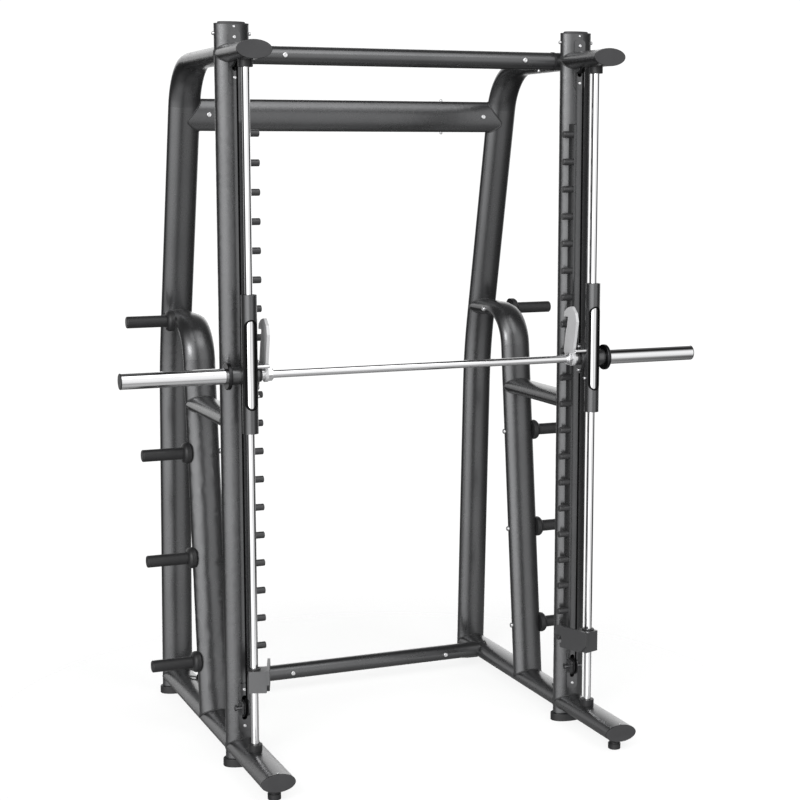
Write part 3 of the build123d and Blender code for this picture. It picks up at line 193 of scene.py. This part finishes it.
def polished(name, colour, rough_low, rough_high, stretch=None):
    """Chromed or plated steel with faint polishing marks along one direction."""
    recipe = Recipe(name)
    marks = recipe.noise(90.0, 5.0, 0.6, stretch)
    recipe.colour(recipe.ramp(marks, [(0.25, shade(colour, 0.96)), (0.8, shade(colour, 1.02))]))
    recipe.rough(recipe.noise(18.0, 4.0), rough_low, rough_high)
    recipe.bump(marks, 0.000008)
    recipe.set(Metallic=1.0)
    return recipe.material


def plated(name, colour, rough_low, rough_high):
    """Zinc plate or satin steel: slightly cloudy, with tiny scratches."""
    recipe = Recipe(name)
    cloud = recipe.noise(70.0, 5.0, 0.65)
    scratches = recipe.noise(600.0, 2.0, 0.5, (1.0, 0.15, 0.15))
    tone = recipe.ramp(cloud, [(0.3, shade(colour, 0.86)), (0.7, shade(colour, 1.06))])
    lines = recipe.ramp(scratches, [(0.35, 0.9), (0.6, 1.0)])
    recipe.colour(recipe.multiply(tone, lines, 0.6))
    recipe.rough(recipe.noise(160.0, 3.0), rough_low, rough_high)
    recipe.bump(scratches, 0.00002)
    recipe.set(Metallic=1.0)
    return recipe.material


def sand_cast(name, colour):
    """Painted cast iron with the sand's grain under the paint."""
    recipe = Recipe(name)
    grain = recipe.noise(260.0, 6.0, 0.65)
    recipe.colour(recipe.ramp(grain, [(0.3, shade(colour, 0.75)), (0.8, shade(colour, 1.25))]))
    recipe.rough(grain, 0.5, 0.75)
    recipe.bump(grain, 0.0006)
    return recipe.material


def coated_wire_rope(name, colour):
    """Black sheathed wire rope; the strands show as a slanted ripple."""
    recipe = Recipe(name)
    ripple = recipe.tree.nodes.new("ShaderNodeTexWave")
    ripple.wave_type = "BANDS"
    ripple.bands_direction = "DIAGONAL"
    ripple.inputs["Scale"].default_value = 160.0
    ripple.inputs["Distortion"].default_value = 0.6
    recipe.link(recipe.place, ripple.inputs["Vector"])
    strands = ripple.outputs["Fac"]
    recipe.colour(recipe.ramp(strands, [(0.0, shade(colour, 0.6)), (1.0, shade(colour, 1.4))]))
    recipe.rough(strands, 0.7, 0.85)
    recipe.bump(strands, 0.0003)
    recipe.set(Specular_IOR_Level=0.06)
    return recipe.material


GREY = (0.125, 0.126, 0.129)
MATERIALS = {
    "frame_paint": powder_coat("frame_paint", GREY, 0.85, 0.24, 0.31),
    "stop_paint": powder_coat("stop_paint", shade(GREY, 0.95), 0.60, 0.36, 0.44),
    "cap_plastic": moulded_plastic("cap_plastic", (0.040, 0.040, 0.042), 0.42, 0.52),
    "black_plastic": moulded_plastic("black_plastic", (0.020, 0.020, 0.021), 0.38, 0.50),
    "black_steel": plated("black_steel", (0.045, 0.045, 0.047), 0.28, 0.40),
    "chrome": polished("chrome", (0.86, 0.86, 0.87), 0.05, 0.10, (0.05, 1.0, 1.0)),
    "zinc_steel": plated("zinc_steel", (0.80, 0.80, 0.81), 0.20, 0.32),
    "hook_steel": powder_coat("hook_steel", (0.62, 0.62, 0.63), 0.25, 0.34, 0.44),
    "cast_iron": sand_cast("cast_iron", (0.05, 0.05, 0.052)),
    "cable_sheath": coated_wire_rope("cable_sheath", (0.0015, 0.0015, 0.0017)),
}
# finishes of nodes and pieces that differ from their slot's common one
ROD_CHROME = polished("guide_rod_chrome", (0.88, 0.88, 0.89), 0.04, 0.09, (1.0, 1.0, 0.05))
# near-black and rough: painted shade for the dark lines round the carriage windows and at the cap rims
PAINTED_SHADE_BLACK = moulded_plastic("painted_shade_black", (0.0030, 0.0030, 0.0032), 0.62, 0.75, specular=0.12)
# painted shade: the welds wear the frame's paint, here darkened to under half and made rougher so the beads
# draw a dark line where the tubes meet
WELD_PAINTED_SHADE = powder_coat("weld_painted_shade", shade(GREY, 0.45), 0.55, 0.42, 0.52)
AXLE_STEEL = plated("axle_steel", (0.22, 0.22, 0.225), 0.30, 0.42)
PEG_PAINT = powder_coat("peg_paint", (0.060, 0.060, 0.062), 0.45, 0.34, 0.42)


def dress(piece, material):
    """Give the piece this one material on all its faces."""
    piece.data.materials.clear()
    piece.data.materials.append(material)


slot_of = {part["node"]: part["material_slot"] for part in frame["record"]["subparts"]}
for node, piece in NODES.items():
    dress(piece, MATERIALS[slot_of[node]])
dress(NODES["guide_rods"], ROD_CHROME)
dress(NODES["pulley_axles"], AXLE_STEEL)
for name in SIDES:
    dress(NODES[f"{name}_hook_pegs"], PEG_PAINT)


# ---------------------------------------------------------------- mesh helpers
def new_piece(name, mesh, body, slot):
    """A shown mesh that rides on a body and takes its finish from one of the record's slots."""
    piece = bpy.data.objects.new(name, mesh)
    bpy.context.scene.collection.objects.link(piece)
    dress(piece, MATERIALS[slot])
    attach(piece, body)
    return piece


def rings_to_mesh(name, rings, closed):
    """A smooth mesh through rings of points, capped at both ends unless it closes on itself."""
    mesh = bmesh.new()
    rows = [[mesh.verts.new(point) for point in ring] for ring in rings]
    count = len(rows[0])
    pairs = list(zip(rows, rows[1:] + rows[:1])) if closed else list(zip(rows, rows[1:]))
    for first, second in pairs:
        for index in range(count):
            following = (index + 1) % count
            mesh.faces.new((first[index], first[following], second[following], second[index]))
    if not closed:
        mesh.faces.new(rows[0][::-1])
        mesh.faces.new(rows[-1])
    bmesh.ops.recalc_face_normals(mesh, faces=mesh.faces)
    for face in mesh.faces:
        face.smooth = True
    data = bpy.data.meshes.new(name)
    mesh.to_mesh(data)
    mesh.free()
    return data


def joined(name, parts):
    """Several meshes as one."""
    mesh = bmesh.new()
    for part in parts:
        mesh.from_mesh(part)
    data = bpy.data.meshes.new(name)
    mesh.to_mesh(data)
    mesh.free()
    return data


def lathe(name, origin, axis, profile, steps=64):
    """A closed ring turned about an axis; profile is a loop of (along, radius)."""
    turn = axis.to_track_quat("Z", "Y").to_matrix()
    rings = []
    for step in range(steps):
        angle = 2 * math.pi * step / steps
        out = Vector((math.cos(angle), math.sin(angle), 0))
        rings.append([origin + turn @ (out * radius + UP * along) for along, radius in profile])
    return rings_to_mesh(name, rings, closed=True)


# ---------------------------------------------------------------- weld beads
BEAD_RADIUS = 0.0026
BEAD_RIPPLE = 0.22  # share of the radius by which it swells and thins
RIPPLE_PITCH = 0.0042
BEAD_STEP = 0.0014
BEAD_SIDES = 8
OUTLINE_SHARE = 0.992  # the tube's outline is followed just inside its wall
OUTLINE_TURNS = 240
FEWEST_HITS = 20  # with fewer, the tube misses its target

trees = {}


def surface(node):
    """A CAD node's surface for finding where a tube meets it."""
    if node not in trees:
        mesh = NODES[node].data
        points = [vertex.co for vertex in mesh.vertices]
        trees[node] = BVHTree.FromPolygons(points, [tuple(face.vertices) for face in mesh.polygons])
    return trees[node]


def meeting_line(start, run, wide, half_wide, half_high, target):
    """Where an oval tube, centred on start and running along run, first meets the target node."""
    run = run.normalized()
    high = run.cross(wide).normalized()
    points = []
    for turn in range(OUTLINE_TURNS):
        angle = 2 * math.pi * turn / OUTLINE_TURNS
        sideways = wide * (math.cos(angle) * half_wide * OUTLINE_SHARE)
        upwards = high * (math.sin(angle) * half_high * OUTLINE_SHARE)
        edge = sideways + upwards
        hit = surface(target).ray_cast(start + edge, run)[0]
        if hit is not None:
            points.append(hit)
    return points


def evenly(points, step):
    """The closed line through the points, as points about a step apart."""
    loop = points + points[:1]
    lengths = [0.0]
    for first, second in zip(loop, loop[1:]):
        lengths.append(lengths[-1] + (second - first).length)
    count = round(lengths[-1] / step)
    result = []
    index = 0
    for number in range(count):
        wanted = lengths[-1] * number / count
        while lengths[index + 1] < wanted:
            index += 1
        share = (wanted - lengths[index]) / (lengths[index + 1] - lengths[index])
        result.append(loop[index].lerp(loop[index + 1], share))
    return result


def bead(points):
    """A weld bead along a closed line, with the ripple that a welder's pauses leave."""
    line = evenly(points, BEAD_STEP)
    middle = sum(line, Vector()) / len(line)
    rings = []
    for number, point in enumerate(line):
        ahead = line[(number + 1) % len(line)]
        behind = line[number - 1]
        along = (ahead - behind).normalized()
        out = (point - middle).cross(along).normalized()
        side = along.cross(out).normalized()
        phase = math.pi * number * BEAD_STEP / RIPPLE_PITCH
        radius = BEAD_RADIUS * (1 + BEAD_RIPPLE * (abs(math.sin(phase)) - 0.5))
        rings.append([
            point + (out * math.cos(turn) + side * math.sin(turn)) * radius
            for turn in (2 * math.pi * index / BEAD_SIDES for index in range(BEAD_SIDES))
        ])
    return rings_to_mesh("bead", rings, closed=True)


X_AXIS = Vector((1, 0, 0))
Y_AXIS = Vector((0, 1, 0))
BACK = 0.16  # how far before an upright's joint the search for it starts
POST_BACK = 0.25  # the same before the rear post's foot, from the rail's end
STORAGE_BACK = 0.12  # the same before the storage post's rear end
FOOT_BACK = 0.1  # the same above the storage post's foot
CROSSBAR_SEARCH_X = 0.4  # where the search for the rear crossbars' joints starts
STORAGE_LEAN = 0.1037  # metres that a storage post leans back for each metre of height


def weld_oval(start, run, target, wide=X_AXIS, half_wide=TUBE_A, half_high=TUBE_B):
    """One oval tube's weld as a list of one mesh, empty where the tube misses the target."""
    points = meeting_line(start, run, wide, half_wide, half_high, target)
    return [bead(points)] if len(points) > FEWEST_HITS else []


def side_welds(name, side):
    """All weld beads of one side frame."""
    x = side * UPRIGHT_X
    upright = f"{name}_upright"
    rear_post = f"{name}_rear_post"
    storage_post = f"{name}_storage_post"
    rail = f"{name}_rear_rail"
    rail_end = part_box(rail)[1].y - POST_BACK
    storage_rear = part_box(storage_post)[1].y - STORAGE_BACK
    storage_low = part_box(storage_post)[0]
    beads = []
    for height in (RAIL_Z, ARM_Z):
        beads += weld_oval(Vector((x, UPRIGHT_Y - BACK, height)), Y_AXIS, upright)
        beads += weld_oval(Vector((x, UPRIGHT_Y + BACK, height)), -Y_AXIS, upright)
    beads += weld_oval(Vector((x, UPRIGHT_Y + BACK, BRACE_Z)), -Y_AXIS, upright)
    beads += weld_oval(Vector((x, UPRIGHT_Y + BACK, BRACE_Z)), Y_AXIS, storage_post)
    beads += weld_oval(Vector((x, rail_end, RAIL_Z)), Y_AXIS, rear_post)
    beads += weld_oval(Vector((x, storage_rear, STORAGE_TOP_Z)), Y_AXIS, rear_post)
    foot = Vector((x, storage_low.y + TUBE_B, RAIL_Z + TUBE_B))
    lean = Vector((0, STORAGE_LEAN, 1)).normalized()
    beads += weld_oval(foot + lean * FOOT_BACK, -lean, rail)
    return beads


LOW_BAR = centre("lower_rear_crossbar")
BIG_BAR = centre("upper_rear_crossbar")
low_bar_low, low_bar_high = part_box("lower_rear_crossbar")
LOW_BAR_RADIUS = (low_bar_high.y - low_bar_low.y) / 2
big_low, big_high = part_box("upper_rear_crossbar")
BIG_BAR_HALF_DEPTH = (big_high.y - big_low.y) / 2
BIG_BAR_HALF_HEIGHT = (big_high.z - big_low.z) / 2

for name, side in SIDES.items():
    beads = side_welds(name, side)
    outward = X_AXIS * side
    rail = f"{name}_rear_rail"
    rear_post = f"{name}_rear_post"
    low_start = Vector((side * CROSSBAR_SEARCH_X, LOW_BAR.y, LOW_BAR.z))
    beads += weld_oval(low_start, outward, rail, Y_AXIS, LOW_BAR_RADIUS, LOW_BAR_RADIUS)
    big_start = Vector((side * CROSSBAR_SEARCH_X, BIG_BAR.y, BIG_BAR.z))
    beads += weld_oval(big_start, outward, rear_post, Y_AXIS, BIG_BAR_HALF_DEPTH, BIG_BAR_HALF_HEIGHT)
    title = f"{name}_weld_beads"
    weld_piece = new_piece(title, joined(title, beads), "frame", "frame_paint")
    # the beads' darker paint is painted shade along the joints
    dress(weld_piece, WELD_PAINTED_SHADE)


# ---------------------------------------------------------------- small fittings
def seal(origin, axis, inner, outer, thick):
    """A wiper seal: a flat ring with a raised lip at its bore and a rounded rim."""
    profile = [
        (0.0, inner + 0.0012), (0.0, outer), (0.7 * thick, outer), (thick, outer - 0.3 * thick),
        (thick, inner + 0.004), (0.75 * thick, inner + 0.0028), (1.25 * thick, inner + 0.0016),
        (1.35 * thick, inner + 0.0006), (0.9 * thick, inner),
    ]
    return lathe("seal", origin, axis, profile)


rod_low, rod_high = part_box("guide_rods")
bushing_low, bushing_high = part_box("carriage_liners")
SEAL_INNER = (rod_high.y - rod_low.y) / 2 + 0.0006  # the seal's lip clears the rod by this much
SEAL_OUTER = (bushing_high.y - bushing_low.y) / 2 - 0.0002
SEAL_THICK = 0.002
wipers = []
for side in SIDES.values():
    x = side * UPRIGHT_X
    wipers.append(seal(Vector((x, ROD_Y, bushing_high.z)), UP, SEAL_INNER, SEAL_OUTER, SEAL_THICK))
    wipers.append(seal(Vector((x, ROD_Y, bushing_low.z)), -UP, SEAL_INNER, SEAL_OUTER, SEAL_THICK))
new_piece("rod_wiper_seals", joined("rod_wiper_seals", wipers), "carriage", "black_plastic")

carriage_low, carriage_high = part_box("right_carriage")
CARRIAGE_RADIUS = (carriage_high.y - carriage_low.y) / 2
WINDOW_LOW_Z = carriage_low.z + 0.074  # carriage's foot to the window
WINDOW_HIGH_Z = carriage_high.z - 0.076  # window to the carriage's top
WINDOW_HALF_WIDTH = 0.0209
WINDOW_END_STEPS = 24
TRIM_WIDTH = 0.0050
TRIM_DEPTH = 0.0034
TRIM_RISE = 0.0004


def window_shade_trim(x):
    """A near-black band round a carriage's window, wrapped on the tube's round wall: painted shade for the
    dark outline along the window's edges.
    """
    straight = (WINDOW_HIGH_Z - WINDOW_LOW_Z) / 2 - WINDOW_HALF_WIDTH
    middle_z = (WINDOW_HIGH_Z + WINDOW_LOW_Z) / 2
    section = ((0.0, -TRIM_DEPTH), (0.0, TRIM_RISE), (TRIM_WIDTH, TRIM_RISE), (TRIM_WIDTH, -TRIM_DEPTH))
    outline = []
    for half_turn, shift in ((0, straight), (1, -straight)):
        for index in range(WINDOW_END_STEPS + 1):
            turn = math.pi * (half_turn + index / WINDOW_END_STEPS)
            outline.append((math.cos(turn), math.sin(turn), shift))
    rings = []
    for across, rise, shift in outline:
        ring = []
        for inset, lift in section:
            half = WINDOW_HALF_WIDTH - inset
            sideways = across * half
            out = CARRIAGE_RADIUS + lift
            height = middle_z + shift + rise * half
            ring.append(Vector((x + sideways, ROD_Y - math.sqrt(out * out - sideways * sideways), height)))
        rings.append(ring)
    return rings_to_mesh("trim", rings, closed=True)


# near-black bands round the windows, as painted shade
shade_trims = [window_shade_trim(side * UPRIGHT_X) for side in SIDES.values()]
shade_trim_piece = new_piece("window_shade_trims", joined("window_shade_trims", shade_trims), "carriage", "black_plastic")
# near-black: painted shade for the window's dark outline
dress(shade_trim_piece, PAINTED_SHADE_BLACK)

SEAM_WIDTH = 0.0016
SEAM_RISE = 0.0003
SEAM_STEPS = 96


def cap_shade_seam(x, y, z):
    """A thin near-black band round a tube where its cap meets it: painted shade for the dark line at the
    cap's rim.
    """
    section = ((-SEAM_RISE, 0.0), (SEAM_RISE, 0.0), (SEAM_RISE, SEAM_WIDTH), (-SEAM_RISE, SEAM_WIDTH))
    rings = []
    for index in range(SEAM_STEPS):
        turn = 2 * math.pi * index / SEAM_STEPS
        ring = []
        for rise, along in section:
            across = math.cos(turn) * (TUBE_A + rise)
            up = math.sin(turn) * (TUBE_B + rise)
            ring.append(Vector((x + across, y + along, z + up)))
        rings.append(ring)
    return rings_to_mesh("seam", rings, closed=True)


RAIL_SEAM_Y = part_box("right_front_rail")[0].y - SEAM_WIDTH / 2
ARM_SEAM_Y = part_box("top_arms")[0].y - SEAM_WIDTH / 2
shade_seams = []
for side in SIDES.values():
    shade_seams.append(cap_shade_seam(side * UPRIGHT_X, RAIL_SEAM_Y, RAIL_Z))
    shade_seams.append(cap_shade_seam(side * UPRIGHT_X, ARM_SEAM_Y, ARM_Z))
shade_seam_piece = new_piece("cap_shade_seams", joined("cap_shade_seams", shade_seams), "frame", "black_plastic")
# near-black: painted shade at the cap rims
dress(shade_seam_piece, PAINTED_SHADE_BLACK)

collar_low, collar_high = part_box("bar_collars")
COLLAR_RADIUS = (collar_high.z - collar_low.z) / 2
RING_X = collar_high.x - 0.0086  # the rings stand this far inside the collars' outer ends
RING_WIDTH = 0.0084
RING_RISE = 0.0005
RING_SINK = 0.004
RING_CHAMFER = 0.0004
RING_PROFILE = (
    (0.0, COLLAR_RADIUS - RING_SINK), (0.0, COLLAR_RADIUS), (RING_CHAMFER, COLLAR_RADIUS + RING_RISE),
    (RING_WIDTH - RING_CHAMFER, COLLAR_RADIUS + RING_RISE), (RING_WIDTH, COLLAR_RADIUS),
    (RING_WIDTH, COLLAR_RADIUS - RING_SINK),
)
dust_rings = []
for side in SIDES.values():
    origin = Vector((side * RING_X, BAR_AXIS.y, BAR_AXIS.z))
    dust_rings.append(lathe("ring", origin, X_AXIS * side, RING_PROFILE))
new_piece("bar_dust_rings", joined("bar_dust_rings", dust_rings), "bar", "black_plastic")

# (along the axle, radius) of a bearing's shield, with a shallow groove half way
SHIELD_PROFILE = (
    (0.0, 0.0062), (0.0, 0.0135), (0.0006, 0.0135), (0.0009, 0.0130),
    (0.0009, 0.0098), (0.0005, 0.0092), (0.0009, 0.0086), (0.0009, 0.0066),
)
SHIELD_SINK = 0.0004
for name in SIDES:
    for place in ("top", "bottom"):
        pulley_low, pulley_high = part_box(f"{name}_{place}_pulley")
        middle = (pulley_low + pulley_high) / 2
        half = (pulley_high.x - pulley_low.x) / 2
        shields = []
        for facing in (-1, 1):
            origin = middle + X_AXIS * (facing * (half - SHIELD_SINK))
            shields.append(lathe("shield", origin, X_AXIS * facing, SHIELD_PROFILE))
        title = f"{name}_{place}_pulley_bearing"
        new_piece(title, joined(title, shields), f"{name}_{place}_wheel", "zinc_steel")


# ---------------------------------------------------------------- floor, light and camera
FLOOR_RADIUS = 2.6
FLOOR_STRENGTH = 0.28  # how solid the pale floor is under the machine
FLOOR_GLOW = 0.3
FADE_START = 0.45  # share of the radius where the floor starts to fade

LIGHT_STRENGTH = 2.5
BACKDROP_STRENGTH = 1.05

# (turn about the machine from -X through the front, share of the full brightness)
TURN_STOPS = (
    (0.00, 0.10), (0.055, 0.50), (0.09, 0.78), (0.13, 0.94), (0.18, 1.00), (0.205, 0.80), (0.238, 0.30),
    (0.27, 0.40), (0.30, 0.46), (0.35, 0.42), (0.39, 0.06), (0.46, 0.02), (0.70, 0.03), (0.94, 0.02),
)
# (height of a direction from straight down at 0 to straight up at 1, share)
HEIGHT_STOPS = (
    (0.00, 0.20), (0.25, 0.34), (0.34, 0.75), (0.50, 0.92), (0.63, 1.00), (0.78, 0.95), (0.88, 0.50),
    (0.95, 0.10), (1.00, 0.06),
)
# the same two for the light behind the machine, which shows on upward faces
BEHIND_TURN_STOPS = ((0.50, 0.0), (0.57, 0.75), (0.64, 1.0), (0.74, 1.0), (0.80, 0.75), (0.87, 0.0))
BEHIND_HEIGHT_STOPS = ((0.38, 0.0), (0.45, 0.50), (0.67, 0.62), (0.74, 0.34), (0.80, 0.08), (1.0, 0.03))


def studio_floor():
    """A pale floor that fades into the backdrop at its rim."""
    mesh = bmesh.new()
    bmesh.ops.create_circle(mesh, cap_ends=True, segments=96, radius=FLOOR_RADIUS)
    data = bpy.data.meshes.new("floor")
    mesh.to_mesh(data)
    mesh.free()
    floor = bpy.data.objects.new("floor", data)
    bpy.context.scene.collection.objects.link(floor)
    recipe = Recipe("floor_paper")
    cloud = recipe.noise(0.8, 2.0)
    recipe.colour(recipe.ramp(cloud, [(0.3, 0.93), (0.7, 0.95)]))
    recipe.set(Roughness=0.9, Specular_IOR_Level=0.1)
    recipe.set(Emission_Color=(1.0, 1.0, 1.0, 1.0), Emission_Strength=FLOOR_GLOW)
    distance = recipe.tree.nodes.new("ShaderNodeVectorMath")
    distance.operation = "LENGTH"
    recipe.link(recipe.place, distance.inputs[0])
    fade = recipe.tree.nodes.new("ShaderNodeMapRange")
    fade.interpolation_type = "SMOOTHSTEP"
    fade.inputs["From Min"].default_value = FADE_START * FLOOR_RADIUS
    fade.inputs["From Max"].default_value = FLOOR_RADIUS
    fade.inputs["To Min"].default_value = FLOOR_STRENGTH
    fade.inputs["To Max"].default_value = 0.0
    recipe.link(distance.outputs["Value"], fade.inputs["Value"])
    recipe.link(fade.outputs["Result"], recipe.shader.inputs["Alpha"])
    dress(floor, recipe.material)


def studio_world():
    """A white backdrop for the camera, and softboxes with dark gaps between them for the reflections."""
    world = bpy.data.worlds.new("studio")
    bpy.context.scene.world = world
    world.use_nodes = True
    nodes = world.node_tree.nodes
    links = world.node_tree.links
    nodes.clear()
    place = nodes.new("ShaderNodeTexCoord")
    around = nodes.new("ShaderNodeTexGradient")
    around.gradient_type = "RADIAL"
    links.new(place.outputs["Generated"], around.inputs["Vector"])
    split = nodes.new("ShaderNodeSeparateXYZ")
    links.new(place.outputs["Generated"], split.inputs["Vector"])
    rise = nodes.new("ShaderNodeMapRange")
    rise.inputs["From Min"].default_value = -1.0
    links.new(split.outputs["Z"], rise.inputs["Value"])

    def ramp(value, stops):
        """A grey that follows a value."""
        node = nodes.new("ShaderNodeValToRGB")
        fill_ramp(node, stops)
        links.new(value, node.inputs["Fac"])
        return node.outputs["Color"]

    def mixed(first, second, blend_type):
        """Two colours put together by a blend type."""
        blend = nodes.new("ShaderNodeMix")
        blend.data_type = "RGBA"
        blend.blend_type = blend_type
        blend.inputs["Factor"].default_value = 1.0
        links.new(first, blend.inputs["A"])
        links.new(second, blend.inputs["B"])
        return blend.outputs["Result"]

    turn = around.outputs["Fac"]
    height = rise.outputs["Result"]
    front_light = mixed(ramp(turn, TURN_STOPS), ramp(height, HEIGHT_STOPS), "MULTIPLY")
    back_light = mixed(ramp(turn, BEHIND_TURN_STOPS), ramp(height, BEHIND_HEIGHT_STOPS), "MULTIPLY")
    all_light = mixed(front_light, back_light, "LIGHTEN")

    lit = nodes.new("ShaderNodeBackground")
    lit.inputs["Strength"].default_value = LIGHT_STRENGTH
    links.new(all_light, lit.inputs["Color"])
    seen = nodes.new("ShaderNodeBackground")
    seen.inputs["Color"].default_value = (1.0, 1.0, 1.0, 1.0)
    seen.inputs["Strength"].default_value = BACKDROP_STRENGTH
    rays = nodes.new("ShaderNodeLightPath")
    either = nodes.new("ShaderNodeMixShader")
    links.new(rays.outputs["Is Camera Ray"], either.inputs["Fac"])
    links.new(lit.outputs["Background"], either.inputs[1])
    links.new(seen.outputs["Background"], either.inputs[2])
    output = nodes.new("ShaderNodeOutputWorld")
    links.new(either.outputs["Shader"], output.inputs["Surface"])


def softbox(name, place, aim, width, height, power):
    """A large area light that faces a point."""
    data = bpy.data.lights.new(name, "AREA")
    data.shape = "RECTANGLE"
    data.size = width
    data.size_y = height
    data.energy = power
    light = bpy.data.objects.new(name, data)
    light.location = place
    light.rotation_euler = (Vector(aim) - Vector(place)).to_track_quat("-Z", "Y").to_euler()
    bpy.context.scene.collection.objects.link(light)


studio_floor()
studio_world()
softbox("key", (-4.5, -5.0, 4.6), (0, 0, 1.1), 2.6, 2.6, 150)
softbox("top", (0.5, -3.0, 6.0), (0, 0, 0), 4.0, 4.0, 90)

CAMERA_PLACE = (-2.1302, -5.3884, 1.9646)
CAMERA_YAW = 0.38605  # turned towards +X from +Y
CAMERA_DIP = 0.14115  # below the horizon
CAMERA_ROLL = -0.0021
CAMERA_LENS = 76.17  # millimetres
SENSOR_WIDTH = 36.0  # millimetres

camera_data = bpy.data.cameras.new("camera")
camera_data.lens = CAMERA_LENS
camera_data.sensor_width = SENSOR_WIDTH
camera = bpy.data.objects.new("camera", camera_data)
turned = Matrix.Rotation(-CAMERA_YAW, 4, "Z") @ Matrix.Rotation(math.pi / 2 - CAMERA_DIP, 4, "X")
camera.matrix_world = Matrix.Translation(CAMERA_PLACE) @ turned @ Matrix.Rotation(CAMERA_ROLL, 4, "Z")
bpy.context.scene.collection.objects.link(camera)
bpy.context.scene.camera = camera
bpy.context.scene.view_settings.view_transform = "Standard"
